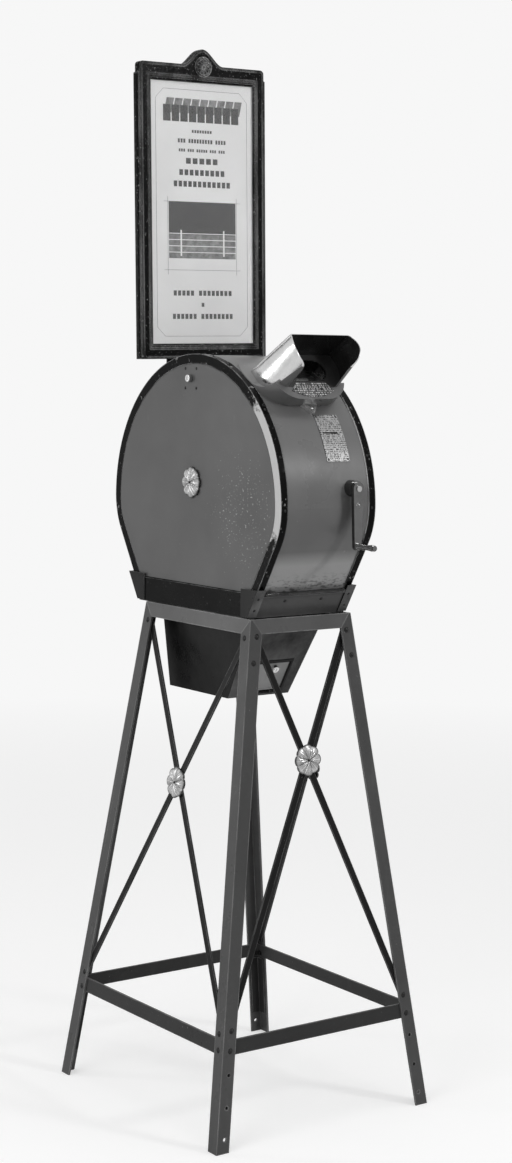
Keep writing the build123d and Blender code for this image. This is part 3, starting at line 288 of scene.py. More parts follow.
def paint_over(material, over, share):
    """Another colour over a finish's own by a share."""
    base = material.node_tree.nodes["Principled BSDF"].inputs["Base Color"]
    mixed = laid_over(material.node_tree, base.links[0].from_socket, over, share)
    material.node_tree.links.new(mixed, base)


def enamel(name, tone, roughness, chip_tone, chip_level, peel):
    """Old brushed enamel: uneven tone, small chips, rubbed edges with a painted highlight, slight orange
    peel.
    """
    material, shader = new_material(name, roughness)
    shader.inputs["Specular IOR Level"].default_value = min(0.15, 0.04 + tone)
    tree = material.node_tree
    cloudy = ramp(tree, place_noise(tree, 7), 0.3, grey(tone * 0.86), 0.72, grey(tone * 1.12))
    streaks = place_noise(tree, 34, 6, (1, 1, 0.22))
    rubbed = level(tree, streaks, 0.58, 0.74, 0.0, 0.35)
    colour = laid_over(tree, cloudy, grey(tone * 1.5), rubbed)
    chips = level(tree, place_noise(tree, 260, 3), chip_level, chip_level + 0.03, 0.0, 0.85)
    colour = laid_over(tree, colour, grey(chip_tone), chips)
    # painted highlight: a light line along every sharp edge, partly rubbed paint
    colour = laid_over(tree, colour, grey(chip_tone), edge_wear_and_highlight(tree, streaks))
    tree.links.new(colour, shader.inputs["Base Color"])
    worn = level(tree, place_noise(tree, 18, 5), 0.3, 0.75, roughness * 0.75, roughness * 1.35)
    tree.links.new(worn, shader.inputs["Roughness"])
    smooth = relief(tree, shader, place_noise(tree, 150, 2), peel)
    relief(tree, shader, chips, -0.00008, smooth)
    return material


def dress(material, *names):
    """One finish on each of these CAD nodes."""
    for name in names:
        for held in nodes[name].material_slots:
            held.material = material


leg_enamel = enamel("leg_enamel", 0.09, 0.32, 0.34, 0.72, 0.00012)
dress(leg_enamel, "leg_front_left", "leg_front_right", "leg_back_left", "leg_back_right")
rail_enamel = enamel("rail_enamel", 0.135, 0.3, 0.4, 0.72, 0.00012)
dress(rail_enamel, "top_rails_side", "top_rails_front_back")
doubler_enamel = enamel("doubler_enamel", 0.03, 0.5, 0.2, 0.74, 0.00014)
dress(doubler_enamel, "leg_doublers")

# Bottom rails and cross braces: flat bar, black, bolted behind the leg flanges. The paint is
# rubbed thin along the edges, which also carry a painted highlight, and shows bright specks.
bar_enamel = enamel("bar_enamel", 0.018, 0.3, 0.2, 0.7, 0.00016)
dress(bar_enamel, "braces")
foot_enamel = enamel("foot_enamel", 0.045, 0.32, 0.2, 0.7, 0.00016)
dress(foot_enamel, "bottom_rails_side", "bottom_rails_front_back")

# Stand bolts: round-headed steel bolts with square shanks, blacked and oily. They hold the
# rails and braces to the legs, and the cabinet's smaller screws have the same finish.
blacked, blacked_shader = new_material("blacked_steel", 0.42, 0.8)
blacked_tree = blacked.node_tree
blacked_tint = ramp(blacked_tree, place_noise(blacked_tree, 420), 0.35, grey(0.008), 0.7, grey(0.035))
blacked_tree.links.new(blacked_tint, blacked_shader.inputs["Base Color"])
relief(blacked_tree, blacked_shader, place_noise(blacked_tree, 900, 2), 0.00005)
dress(blacked, "stand_bolts", "cabinet_screws")


# Flower rosettes: thin cast metal, eight fluted petals round a screw, silvered. Three cover
# the crossings of the braces, and a screw holds one to the middle of each side panel.
def new_piece(name, points, faces, body, slot, *materials, smooth_angle=35):
    """A mesh piece that rides on a body and wears the given finishes; its slot is not used."""
    mesh = bpy.data.meshes.new(name)
    mesh.from_pydata([tuple(point) for point in points], [], faces)
    for material in materials:
        mesh.materials.append(material)
    mesh.validate()
    mesh.shade_smooth()
    mesh.set_sharp_from_angle(angle=math.radians(smooth_angle))
    piece = bpy.data.objects.new(name, mesh)
    scene.collection.objects.link(piece)
    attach(piece, body)
    return piece


def polar_casting(points, faces, seat, normal, heights, outline, rings, steps, back):
    """Round casting added to lists: heights and outline give its face, back its underside."""
    normal = Vector(normal).normalized()
    side = normal.cross(Vector((0, 0, 1))).normalized()
    over = side.cross(normal)
    start = len(points)
    points.append(Vector(seat) + normal * heights(0, 0))
    for ring in range(1, rings + 1):
        share = ring / rings
        for step in range(steps):
            turn = 2 * math.pi * step / steps
            radius = outline(turn) * share
            spoke = side * math.cos(turn) + over * math.sin(turn)
            points.append(Vector(seat) + spoke * radius + normal * heights(share, turn))
    edge = start + 1 + (rings - 1) * steps
    under = len(points)
    for step in range(steps):
        turn = 2 * math.pi * step / steps
        spoke = side * math.cos(turn) + over * math.sin(turn)
        points.append(Vector(seat) + spoke * outline(turn) * 0.97 + normal * back)
    points.append(Vector(seat) + normal * back)
    for step in range(steps):
        after = (step + 1) % steps
        faces.append((start, start + 1 + step, start + 1 + after))
        for ring in range(rings - 1):
            row = start + 1 + ring * steps
            faces.append((row + step, row + steps + step, row + steps + after, row + after))
        faces.append((edge + step, under + step, under + after, edge + after))
        faces.append((under + step, len(points) - 1, under + after))


petals = 8
flower_radius = 27.4 * mm
flower_height = 7.6 * mm


def petal_outline(turn):
    """Radius of the flower's lobed edge."""
    lobe = abs(math.cos(petals / 2 * turn))
    return flower_radius * (0.87 + 0.13 * lobe ** 0.5)


def petal_height(share, turn):
    """Height of the flower's face at a share of its radius."""
    lobe = abs(math.cos(petals / 2 * turn))
    crown = 0.4 + 0.6 * lobe ** 0.45
    crease = 1 - 0.1 * max(0, (lobe - 0.93) / 0.07) * math.sin(math.pi * share)
    swell = math.sin(math.pi * min(1, 0.1 + 0.86 * share ** 0.85)) ** 0.55
    return flower_height * (0.12 + 0.88 * swell * crown * crease)


def screw_dome(points, faces, seat, normal, radius, height):
    """Round screw head with a driver's slot across it."""

    def dome(share, turn):
        """Height of the head, lower in the slot."""
        across = abs(math.sin(turn + 0.6)) * share * radius
        deep = 0.45 if across < radius * 0.16 and share < 0.9 else 0.0
        return height * (math.sqrt(max(0.0, 1 - 0.86 * share ** 2)) - deep)

    polar_casting(points, faces, seat, normal, dome, lambda turn: radius, 8, 40, 0)


def flowers(name, seats, body, replaced):
    """Flowers at seats, each a place and an outward direction, with their screws."""
    points, faces = [], []
    screw_points, screw_faces = [], []
    for seat, normal in seats:
        polar_casting(points, faces, seat, normal, petal_height, petal_outline, 14, 128, 0)
        raised = Vector(seat) + Vector(normal).normalized() * flower_height * 0.2
        screw_dome(screw_points, screw_faces, raised, normal, 3.6 * mm, 5.2 * mm)
    piece = new_piece(name, points, faces, body, "silver_paint", silvered, smooth_angle=50)
    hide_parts(replaced)
    new_piece(name + "_screws", screw_points, screw_faces, body, "steel", blacked)
    return piece


silvered, silver_shader = new_material("silvered_casting", 0.4, 0.75)
silver_tree = silvered.node_tree
silver_tint = ramp(silver_tree, place_noise(silver_tree, 90, 5), 0.32, grey(0.4), 0.7, grey(0.8))
silver_shape = silver_tree.nodes.new("ShaderNodeNewGeometry")
# the hollows of the casting are painted nearly black
silver_hollows_dark = level(silver_tree, silver_shape.outputs["Pointiness"], 0.44, 0.505, 0.95, 0.0)
silver_tree.links.new(
    laid_over(silver_tree, silver_tint, grey(0.015), silver_hollows_dark), silver_shader.inputs["Base Color"]
)
silver_tree.links.new(
    level(silver_tree, place_noise(silver_tree, 60), 0.3, 0.7, 0.16, 0.34), silver_shader.inputs["Roughness"]
)
relief(silver_tree, silver_shader, place_noise(silver_tree, 340, 3), 0.00012)

stand_height = 875 * mm
foot_half_x = 227.2 * mm
foot_half_y = 251.6 * mm
top_half_x = 106.4 * mm
top_half_y = 161.8 * mm
lean_x = (foot_half_x - top_half_x) / stand_height
lean_y = (foot_half_y - top_half_y) / stand_height
iron = 3.2 * mm
side_crossing_z = 575.5 * mm
front_crossing_z = 629.8 * mm


def node_middle(name):
    """Middle of a CAD node's box."""
    low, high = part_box(name)
    return (Vector(low) + Vector(high)) / 2


def brace_seats():
    """Where the braces cross, on the outer face of the outer bar."""
    side_normal = Vector((1, 0, lean_x)).normalized()
    front_normal = Vector((0, -1, lean_y)).normalized()
    half_x = foot_half_x - lean_x * side_crossing_z
    half_y = foot_half_y - lean_y * front_crossing_z
    right_seat = Vector((half_x, stand_y, side_crossing_z)) - side_normal * iron
    left_seat = Vector((-right_seat.x, right_seat.y, right_seat.z))
    front_seat = Vector((0, stand_y - half_y, front_crossing_z)) - front_normal * iron
    left_normal = Vector((-side_normal.x, 0, side_normal.z))
    return ((right_seat, side_normal), (left_seat, left_normal), (front_seat, front_normal))


flowers("brace_flowers", brace_seats(), "stand_and_cabinet", "stand_rosettes")
right_panel_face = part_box("side_rosette_right")[0][0]
left_panel_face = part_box("side_rosette_left")[1][0]
right_flower = node_middle("side_rosette_right")
left_flower = node_middle("side_rosette_left")
flowers(
    "right_flower",
    [(Vector((right_panel_face, right_flower.y, right_flower.z)), (1, 0, 0))],
    "stand_and_cabinet",
    "side_rosette_right",
)
flowers(
    "left_flower",
    [(Vector((left_panel_face, left_flower.y, left_flower.z)), (-1, 0, 0))],
    "access_door",
    "side_rosette_left",
)

# Tray: a shallow pan of sheet iron that the cabinet drops into, screwed to the stand's top
# rails. The long sides are black, the two ends grey under a black lip with a rolled bead.
tray_black = enamel("tray_black", 0.003, 0.24, 0.2, 0.7, 0.0002)
dress(tray_black, "tray_side_bands", "tray_floor")
tray_edged = enamel("tray_edged", 0.1, 0.36, 0.3, 0.74, 0.00014)
tray_front_low, tray_front_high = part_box("tray_front")
lip_z = tray_front_high.z - 4 * mm
edged_tree = tray_edged.node_tree
lip_black = level(edged_tree, place_axes(edged_tree)["Z"], lip_z, lip_z + 0.4 * mm, 0.0, 1.0)
paint_over(tray_edged, grey(0.006), lip_black)
dress(tray_edged, "tray_front", "tray_back")

bead_radius = 3.3 * mm
bead_half = tray_front_high.x - 19 * mm
bead_y = tray_front_low.y + 0.6 * mm
bead_sides = 20
bead_steps = []
for turn in range(10, 91, 16):
    angle = math.radians(turn)
    bead_steps.append((-bead_half - bead_radius * math.cos(angle), math.sin(angle)))
bead_steps += [(-x, share) for x, share in reversed(bead_steps)]
bead_points, bead_faces = [], []
for x, share in bead_steps:
    for side in range(bead_sides):
        angle = math.tau * side / bead_sides
        out = bead_radius * share * math.cos(angle)
        rise = bead_radius * share * math.sin(angle)
        bead_points.append((x, bead_y + out, tray_front_high.z + rise))
last_ring = (len(bead_steps) - 1) * bead_sides
for ring in range(0, last_ring, bead_sides):
    for side in range(bead_sides):
        after = (side + 1) % bead_sides
        bead_faces.append((ring + side, ring + after, ring + bead_sides + after, ring + bead_sides + side))
bead_faces.append(tuple(reversed(range(bead_sides))))
bead_faces.append(tuple(range(last_ring, last_ring + bead_sides)))
bead_gloss = enamel("bead_gloss", 0.004, 0.12, 0.3, 0.7, 0.0003)
bead_gloss.node_tree.nodes["Principled BSDF"].inputs["Specular IOR Level"].default_value = 0.25
new_piece(
    "tray_bead", bead_points, bead_faces, "stand_and_cabinet", "black_enamel", bead_gloss, smooth_angle=60
)

# Cabinet wrapper: one steel sheet bent round the drum and down to the tray, grey enamel with
# rub marks and fine scratches. Its straight foot is painted paler as a painted sheen, with a
# crazed band below.
cabinet_grey, cabinet_shader = new_material("cabinet_grey", 0.3)
cabinet_tree = cabinet_grey.node_tree
cabinet_cloud = ramp(cabinet_tree, place_noise(cabinet_tree, 5), 0.3, grey(0.125), 0.72, grey(0.165))
cabinet_rub = level(cabinet_tree, place_noise(cabinet_tree, 26, 7, (1, 1, 0.5)), 0.62, 0.76, 0.0, 0.3)
cabinet_colour = laid_over(cabinet_tree, cabinet_cloud, grey(0.24), cabinet_rub)
cabinet_spots = level(cabinet_tree, place_noise(cabinet_tree, 120, 2), 0.75, 0.78, 0.0, 0.7)
cabinet_colour = laid_over(cabinet_tree, cabinet_colour, grey(0.4), cabinet_spots)
cabinet_height = place_axes(cabinet_tree)["Z"]
sheen_z = 965 * mm
craze_z = 930 * mm
# painted sheen: the wrapper's colour is lightened from 25 mm above this height downwards
cabinet_foot_sheen = level(cabinet_tree, cabinet_height, sheen_z + 25 * mm, sheen_z, 0.0, 0.75)
cabinet_colour = laid_over(cabinet_tree, cabinet_colour, grey(0.5), cabinet_foot_sheen)
craze = level(cabinet_tree, place_noise(cabinet_tree, 230, 5, (0.4, 1, 1)), 0.5, 0.6, 0.0, 0.8)
craze_band = level(cabinet_tree, cabinet_height, craze_z + 22 * mm, craze_z, 0.0, 1.0)
crazed = math_step(cabinet_tree, "MULTIPLY", craze, craze_band)
cabinet_colour = laid_over(cabinet_tree, cabinet_colour, grey(0.06), crazed)
cabinet_tree.links.new(cabinet_colour, cabinet_shader.inputs["Base Color"])
cabinet_tree.links.new(
    level(cabinet_tree, place_noise(cabinet_tree, 12, 4), 0.3, 0.7, 0.24, 0.4),
    cabinet_shader.inputs["Roughness"],
)
cabinet_waves = relief(cabinet_tree, cabinet_shader, place_noise(cabinet_tree, 14, 2), 0.0006)
relief(cabinet_tree, cabinet_shader, place_noise(cabinet_tree, 210, 3), 0.00006, cabinet_waves)
dress(cabinet_grey, "cabinet_wrapper", "hood_collar")

# Side panels: flat steel discs with a cut-off foot, grey enamel like the wrapper's, held in
# the rims. The left one is the access door and is chipped where hands have held it.
panel_grey, panel_shader = new_material("panel_grey", 0.4)
panel_shader.inputs["Specular IOR Level"].default_value = 0.3
panel_tree = panel_grey.node_tree
panel_cloud = ramp(panel_tree, place_noise(panel_tree, 4, 6), 0.3, grey(0.08), 0.75, grey(0.112))
panel_marks = level(panel_tree, place_noise(panel_tree, 60, 8, (1, 1, 0.35)), 0.66, 0.78, 0.0, 0.22)
panel_colour = laid_over(panel_tree, panel_cloud, grey(0.26), panel_marks)
panel_place = panel_tree.nodes.new("ShaderNodeTexCoord")
chipped_middle = Vector((-100 * mm, stand_y - 130 * mm, 1050 * mm))
from_chips = vector_step(panel_tree, "DISTANCE", panel_place.outputs["Object"], chipped_middle)
scratched = level(panel_tree, from_chips, 60 * mm, 160 * mm, 0.12, 0.0)
speck_noise = math_step(panel_tree, "ADD", place_noise(panel_tree, 210, 4, (1, 1, 1.4)), scratched)
panel_specks = level(panel_tree, speck_noise, 0.75, 0.77, 0.0, 0.75)
panel_colour = laid_over(panel_tree, panel_colour, grey(0.55), panel_specks)
panel_tree.links.new(panel_colour, panel_shader.inputs["Base Color"])
panel_tree.links.new(
    level(panel_tree, place_noise(panel_tree, 9, 4), 0.3, 0.7, 0.34, 0.48), panel_shader.inputs["Roughness"]
)
panel_waves = relief(panel_tree, panel_shader, place_noise(panel_tree, 8, 2), 0.0005)
relief(panel_tree, panel_shader, place_noise(panel_tree, 260, 3), 0.00005, panel_waves)
dress(panel_grey, "side_panel_left", "side_panel_right")

# Rims: light angle iron bent round each edge of the drum and screwed on, gloss black, chipped
# in flakes. A pale band is painted along the front of the left one's outer face as a painted
# highlight. The seats are out of sight.
rim_black = enamel("rim_black", 0.012, 0.2, 0.42, 0.7, 0.00022)
dress(rim_black, "panel_seats")
rim_paint = enamel("rim_paint", 0.004, 0.16, 0.42, 0.7, 0.00022)
rim_tree = rim_paint.node_tree
drum_y = stand_y + 22 * mm
drum_z = 1062 * mm
# painted highlight: a pale band on the left rim's outer face between these turns round the drum
shine_from = 0.02
shine_to = 1.06
shine_fade = 0.08
rim_place = place_axes(rim_tree)
rim_out = math_step(rim_tree, "SUBTRACT", drum_y, rim_place["Y"])
rim_rise = math_step(rim_tree, "SUBTRACT", rim_place["Z"], drum_z)
rim_turn = math_step(rim_tree, "ARCTAN2", rim_rise, rim_out)
ragged = math_step(rim_tree, "MULTIPLY_ADD", place_noise(rim_tree, 90, 5), 0.5, rim_turn)
rim_start = level(rim_tree, ragged, shine_from, shine_from + shine_fade, 0.0, 1.0)
rim_end = level(rim_tree, ragged, shine_to, shine_to - shine_fade, 0.0, 1.0)
rim_left = level(rim_tree, place_axes(rim_tree, "Normal")["X"], -0.8, -0.95, 0.0, 0.9)
rim_painted_highlight = math_step(rim_tree, "MULTIPLY", math_step(rim_tree, "MULTIPLY", rim_start, rim_end), rim_left)
paint_over(rim_paint, grey(0.3), level(rim_tree, place_noise(rim_tree, 75, 6), 0.63, 0.66, 0.0, 0.85))
paint_over(rim_paint, grey(0.8), rim_painted_highlight)
dress(rim_paint, "cabinet_rims")

# Coin housing: a sheet-iron hopper riveted under the tray, its ends a grey mottled from dark to
# light, partly painted shade and painted reflection, and its two sides black. The tray's corner
# ears are painted the same way.
housing_paint, housing_shader = new_material("housing_paint", 0.3)
housing_shader.inputs["Specular IOR Level"].default_value = 0.1
housing_tree = housing_paint.node_tree
# painted shade and reflection: the wide dark-to-light mottle of the grey ends, over uneven paint
housing_grey_and_shade = ramp(housing_tree, place_noise(housing_tree, 9, 6), 0.36, grey(0.04), 0.66, grey(0.24))
housing_black = ramp(housing_tree, place_noise(housing_tree, 30, 6), 0.3, grey(0.005), 0.75, grey(0.012))
housing_side = math_step(housing_tree, "ABSOLUTE", place_axes(housing_tree, "Normal")["X"])
housing_share = level(housing_tree, housing_side, 0.6, 0.75, 0.0, 1.0)
housing_tree.links.new(
    laid_over(housing_tree, housing_grey_and_shade, housing_black, housing_share), housing_shader.inputs["Base Color"]
)
housing_tree.links.new(
    level(housing_tree, place_noise(housing_tree, 16, 4), 0.3, 0.7, 0.22, 0.42),
    housing_shader.inputs["Roughness"],
)
relief(housing_tree, housing_shader, place_noise(housing_tree, 24, 4), 0.0006)
dress(housing_paint, "coin_housing", "tray_ears")

# Coin door: a small pressed plate with a raised border, hinged at its foot. It is the palest
# of the painted pieces, its tone raised as painted light against the shade under the cabinet,
# and a band round its edge is black.
# painted light: the door's tone is about twice its paint's own, to lift it out of the shade
door_paint_lightened = enamel("door_paint_lightened", 0.42, 0.3, 0.4, 0.7, 0.0002)
door_tree = door_paint_lightened.node_tree
door_place = place_axes(door_tree)
door_low, door_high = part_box("coin_door")
border_share = []
for axis, border in (("X", 7 * mm), ("Z", 6.5 * mm)):
    at = "XYZ".index(axis)
    for edge, inward in ((door_low[at], border), (door_high[at], -border)):
        outer, inner = edge + inward, edge + inward * 1.15
        border_share.append(level(door_tree, door_place[axis], inner, outer, 0.0, 1.0))
across = math_step(door_tree, "MAXIMUM", border_share[0], border_share[1])
upright = math_step(door_tree, "MAXIMUM", border_share[2], border_share[3])
paint_over(door_paint_lightened, grey(0.008), math_step(door_tree, "MAXIMUM", across, upright))
dress(door_paint_lightened, "coin_door")
dress(tray_black, "coin_door_hinge")


# Bright work: nickel plate over brass and steel, polished once, now smeared on the locks and
# grip and dull on the crank. The lock's four small screws are blacked.
def nickel_plate(name, tone, roughness, smear):
    """Bare or plated metal with cloudy smears."""
    material, shader = new_material(name, roughness, 1.0)
    tree = material.node_tree
    tint = ramp(tree, place_noise(tree, 40, 6), 0.3, grey(tone * 0.8), 0.7, grey(tone * 1.1))
    tree.links.new(tint, shader.inputs["Base Color"])
    tree.links.new(
        level(tree, place_noise(tree, 22, 5), 0.3, 0.72, roughness * 0.6, roughness * smear),
        shader.inputs["Roughness"],
    )
    relief(tree, shader, place_noise(tree, 30, 3), 0.00025)
    return material


nickel = nickel_plate("nickel", 0.6, 0.14, 1.8)
dress(silvered, "hood_catch")
dress(nickel, "side_lock", "coin_lock", "grip")
dull_nickel = nickel_plate("dull_nickel", 0.14, 0.12, 1.8)
dress(dull_nickel, "crank_arm", "crank_boss", "crank_pins")
dress(blacked, "panel_screws")

# Viewing hood: a tube of nickelled sheet with a flat top and bulging cheeks, cut away below
# for the nose. It is soldered to its collar, bright outside and blackened inside.
hood_tilt = math.radians(33)
hood_axis = Vector((0, -math.cos(hood_tilt), math.sin(hood_tilt)))
hood_middle = Vector((0, stand_y - 217 * mm, 1326.8 * mm))
hood_finish, hood_shader = new_material("hood_finish", 0.16)
hood_tree = hood_finish.node_tree
hood_place = hood_tree.nodes.new("ShaderNodeTexCoord")
from_axis = vector_step(hood_tree, "SUBTRACT", hood_place.outputs["Object"], hood_middle)
off_axis = vector_step(hood_tree, "CROSS_PRODUCT", from_axis, hood_axis)
inward = vector_step(hood_tree, "CROSS_PRODUCT", off_axis, hood_axis)
facing = vector_step(hood_tree, "DOT_PRODUCT", inward, hood_place.outputs["Normal"])
hood_outside = level(hood_tree, facing, -0.002, 0.002, 1.0, 0.0)
hood_inside_tint = ramp(hood_tree, place_noise(hood_tree, 24, 6), 0.3, grey(0.01), 0.75, grey(0.028))
hood_nickel_tint = ramp(hood_tree, place_noise(hood_tree, 30, 6), 0.3, grey(0.5), 0.7, grey(0.68))
hood_tree.links.new(
    laid_over(hood_tree, hood_inside_tint, hood_nickel_tint, hood_outside), hood_shader.inputs["Base Color"]
)
hood_tree.links.new(hood_outside, hood_shader.inputs["Metallic"])
hood_tree.links.new(
    level(hood_tree, place_noise(hood_tree, 22, 5), 0.3, 0.7, 0.1, 0.26), hood_shader.inputs["Roughness"]
)
relief(hood_tree, hood_shader, place_noise(hood_tree, 26, 3), 0.0005)
dress(hood_finish, "hood")
hood_black, hood_black_shader = new_material("hood_black", 0.5)
hood_black_tree = hood_black.node_tree
hood_black_tint = ramp(
    hood_black_tree, place_noise(hood_black_tree, 26, 6), 0.3, grey(0.008), 0.75, grey(0.025)
)
hood_black_tree.links.new(hood_black_tint, hood_black_shader.inputs["Base Color"])
relief(hood_black_tree, hood_black_shader, place_noise(hood_black_tree, 200, 3), 0.00008)
dress(hood_black, "hood_baffle")

# Clear glass: the reading lens behind the hood's window, the flat pane over the poster and the
# bulb of the lamp inside. All three are a little smeared.
lens_glass, lens_shader = new_material("lens_glass", 0.04)
lens_shader.inputs["Transmission Weight"].default_value = 1.0
lens_shader.inputs["IOR"].default_value = 1.5
lens_tree = lens_glass.node_tree
lens_tint = ramp(lens_tree, place_noise(lens_tree, 14), 0.3, grey(0.97), 0.8, grey(1.0))
lens_tree.links.new(lens_tint, lens_shader.inputs["Base Color"])
lens_smear = level(lens_tree, place_noise(lens_tree, 30, 5), 0.4, 0.8, 0.02, 0.16)
lens_tree.links.new(lens_smear, lens_shader.inputs["Roughness"])
dress(lens_glass, "hood_lens", "sign_glass", "lamp")


# Face plates: thin nickelled plates pressed with rows of small plain strokes where the real
# ones carry words. The one below the window is dark between its strokes.
def stroke_plate(name, plate_tone, stroke_tone, row_height, stroke_scale, metallic):
    """A pressed plate with level rows of short strokes."""
    material, shader = new_material(name, 0.32, metallic)
    tree = material.node_tree
    rows = math_step(tree, "PINGPONG", place_axes(tree)["Z"], row_height / 2)
    in_row = level(tree, rows, row_height * 0.17, row_height * 0.22, 0.0, 1.0)
    strokes = level(tree, place_noise(tree, stroke_scale, 1, (1, 0.1, 0.25)), 0.47, 0.53, 0.0, 1.0)
    marks = math_step(tree, "MULTIPLY", in_row, strokes)
    base = ramp(tree, place_noise(tree, 70, 5), 0.3, grey(plate_tone * 0.8), 0.7, grey(plate_tone * 1.15))
    tree.links.new(laid_over(tree, base, grey(stroke_tone), marks), shader.inputs["Base Color"])
    relief(tree, shader, marks, 0.0002)
    return material


dress(stroke_plate("entry_plate", 0.34, 0.06, 3.1 * mm, 640, 0.85), "instruction_plate")
dress(stroke_plate("hood_plate_face", 0.05, 0.75, 3.0 * mm, 560, 0.3), "hood_plate")

# Works inside: plain steel shafts and discs, a brass worm wheel and the wooden hub with its
# picture cards, carried by a black frame, with the coin chute and the box for the takings.
plain_steel = nickel_plate("plain_steel", 0.42, 0.3, 1.5)
dress(plain_steel, "crank_shaft", "reel_shaft", "reel_discs", "coin_chute", "cash_box", "card_stop")
wheel_brass, brass_shader = new_material("wheel_brass", 0.3, 1.0)
brass_tree = wheel_brass.node_tree
brass_tint = ramp(brass_tree, place_noise(brass_tree, 50, 5), 0.3, (0.3, 0.2, 0.07), 0.7, (0.62, 0.45, 0.18))
brass_tree.links.new(brass_tint, brass_shader.inputs["Base Color"])
relief(brass_tree, brass_shader, place_noise(brass_tree, 400, 3), 0.00006)
dress(wheel_brass, "worm_wheel")
works_black = enamel("works_black", 0.03, 0.45, 0.25, 0.72, 0.0003)
dress(works_black, "mechanism_frame", "lamp_holder")
card_stock, card_shader = new_material("card_stock", 0.75)
card_tree = card_stock.node_tree
card_tint = ramp(card_tree, place_noise(card_tree, 300, 2, (0.02, 1, 1)), 0.35, grey(0.3), 0.7, grey(0.72))
card_tree.links.new(card_tint, card_shader.inputs["Base Color"])
relief(card_tree, card_shader, place_noise(card_tree, 500, 2, (0.02, 1, 1)), 0.0003)
dress(card_stock, "card_pack")
hub_wood, hub_shader = new_material("hub_wood", 0.55)
hub_tree = hub_wood.node_tree
hub_grain = place_noise(hub_tree, 40, 6, (0.15, 1, 1))
hub_tint = ramp(hub_tree, hub_grain, 0.3, (0.12, 0.07, 0.04), 0.7, (0.3, 0.19, 0.1))
hub_tree.links.new(hub_tint, hub_shader.inputs["Base Color"])
relief(hub_tree, hub_shader, place_noise(hub_tree, 160, 4, (0.1, 1, 1)), 0.0002)
dress(hub_wood, "reel_hub")

# Sign frame: black-stained wooden moulding, mitred, with two beads by the glass. Its top board
# rises in an ogee crest. Two iron feet hold it behind the drum.
sign_lean = math.radians(1.2)
sign_origin = Vector((0, stand_y + 137 * mm, 1310.8 * mm))
sign_half = 136.7 * mm
sign_height = 516.2 * mm
sign_side = 28 * mm
sign_top = 30.5 * mm
sign_foot = 27 * mm
sign_step = 4 * mm
crest_half = 43 * mm
crest_height = 28 * mm
rebate = 5 * mm
sight_half = sign_half - sign_side
sight_high = sign_height - sign_top
nearly = 1e-6


def on_sign(x, y, z):
    """A place on the leaning sign: across, back from its face, and up from its foot."""
    return sign_origin + Vector((
        x * math.cos(sign_lean) - z * math.sin(sign_lean),
        y,
        z * math.cos(sign_lean) + x * math.sin(sign_lean),
    ))


def crest_rise(x):
    """Height of the ogee crest above the frame's top at a distance from its middle."""
    away = abs(x) / crest_half
    if away >= 1:
        return 0.0
    return crest_height * (0.5 + 0.5 * math.cos(math.pi * away)) ** 0.92


def sign_outline():
    """Outer edge, clockwise from the left foot: each point with its place on the sight edge."""
    half = sign_half - sign_step
    corner_radius = 7 * mm
    straight = sign_height - corner_radius
    side_steps, corner_steps, top_steps, foot_steps = 24, 6, 72, 20
    edge = []
    for step in range(side_steps):
        share = step / side_steps
        edge.append((-half, share * straight, -sight_half, sign_foot + share * (sight_high - sign_foot)))
    for step in range(corner_steps):
        turn = math.pi / 2 * step / corner_steps
        x = -half + corner_radius * (1 - math.cos(turn))
        z = straight + corner_radius * math.sin(turn)
        edge.append((x, z, -sight_half, sight_high))
    for step in range(top_steps + 1):
        x = (-half + corner_radius) + 2 * (half - corner_radius) * step / top_steps
        sight = max(-sight_half, min(sight_half, x))
        edge.append((x, sign_height + crest_rise(x), sight, sight_high))
    for step in range(1, corner_steps + 1):
        turn = math.pi / 2 * step / corner_steps
        x = half - corner_radius * (1 - math.sin(turn))
        z = straight + corner_radius * math.cos(turn)
        edge.append((x, z, sight_half, sight_high))
    for step in range(1, side_steps + 1):
        share = 1 - step / side_steps
        edge.append((half, share * straight, sight_half, sign_foot + share * (sight_high - sign_foot)))
    for step in range(1, foot_steps):
        x = half - 2 * half * step / foot_steps
        edge.append((x, 0, max(-sight_half, min(sight_half, x)), sign_foot))
    return edge


def inset_edge(edge, distance):
    """The outer edge moved inwards along its own normals."""
    moved = []
    for index, (x, z, sight_x, sight_z) in enumerate(edge):
        before = edge[index - 1]
        after = edge[(index + 1) % len(edge)]
        along = Vector((after[0] - before[0], after[1] - before[1]))
        along.normalize()
        moved.append((x + along.y * distance, z - along.x * distance))
    return moved


def beside_sight(sight_x, sight_z, side, foot, top):
    """A place on the sight edge moved out by the widths of the boards that meet there."""
    if abs(sight_x) > sight_half - nearly:
        sight_x += math.copysign(side, sight_x)
    if abs(sight_z - sight_high) < nearly:
        sight_z += top
    elif abs(sight_z - sign_foot) < nearly:
        sight_z -= foot
    return sight_x, sight_z


sign_edge = sign_outline()
sign_rings = []
for inset, back in ((0, 16), (0, 1.4), (0.5, 0.4), (1.4, 0), (3.2, 0), (3.9, 0.8), (4.7, 0), (5.6, 0)):
    sign_rings.append([on_sign(x, back * mm, z) for x, z in inset_edge(sign_edge, inset * mm)])
sight_profile = (
    (0.62, 0.0), (0.65, 0.9), (0.69, 0.1), (0.73, 0.1), (0.77, 1.2), (0.82, 0.5), (0.87, 0.6), (0.91, 1.8),
    (0.97, 2.6), (1.0, 3.2), (1.0, 4.0),
)
for share, back in sight_profile:
    ring = []
    for x, z, sight_x, sight_z in sign_edge:
        outer_x, outer_z = beside_sight(sight_x, sight_z, sign_side - sign_step, sign_foot, sign_top)
        place_x = outer_x + share * (sight_x - outer_x)
        place_z = outer_z + share * (sight_z - outer_z)
        ring.append(on_sign(place_x, back * mm, place_z))
    sign_rings.append(ring)
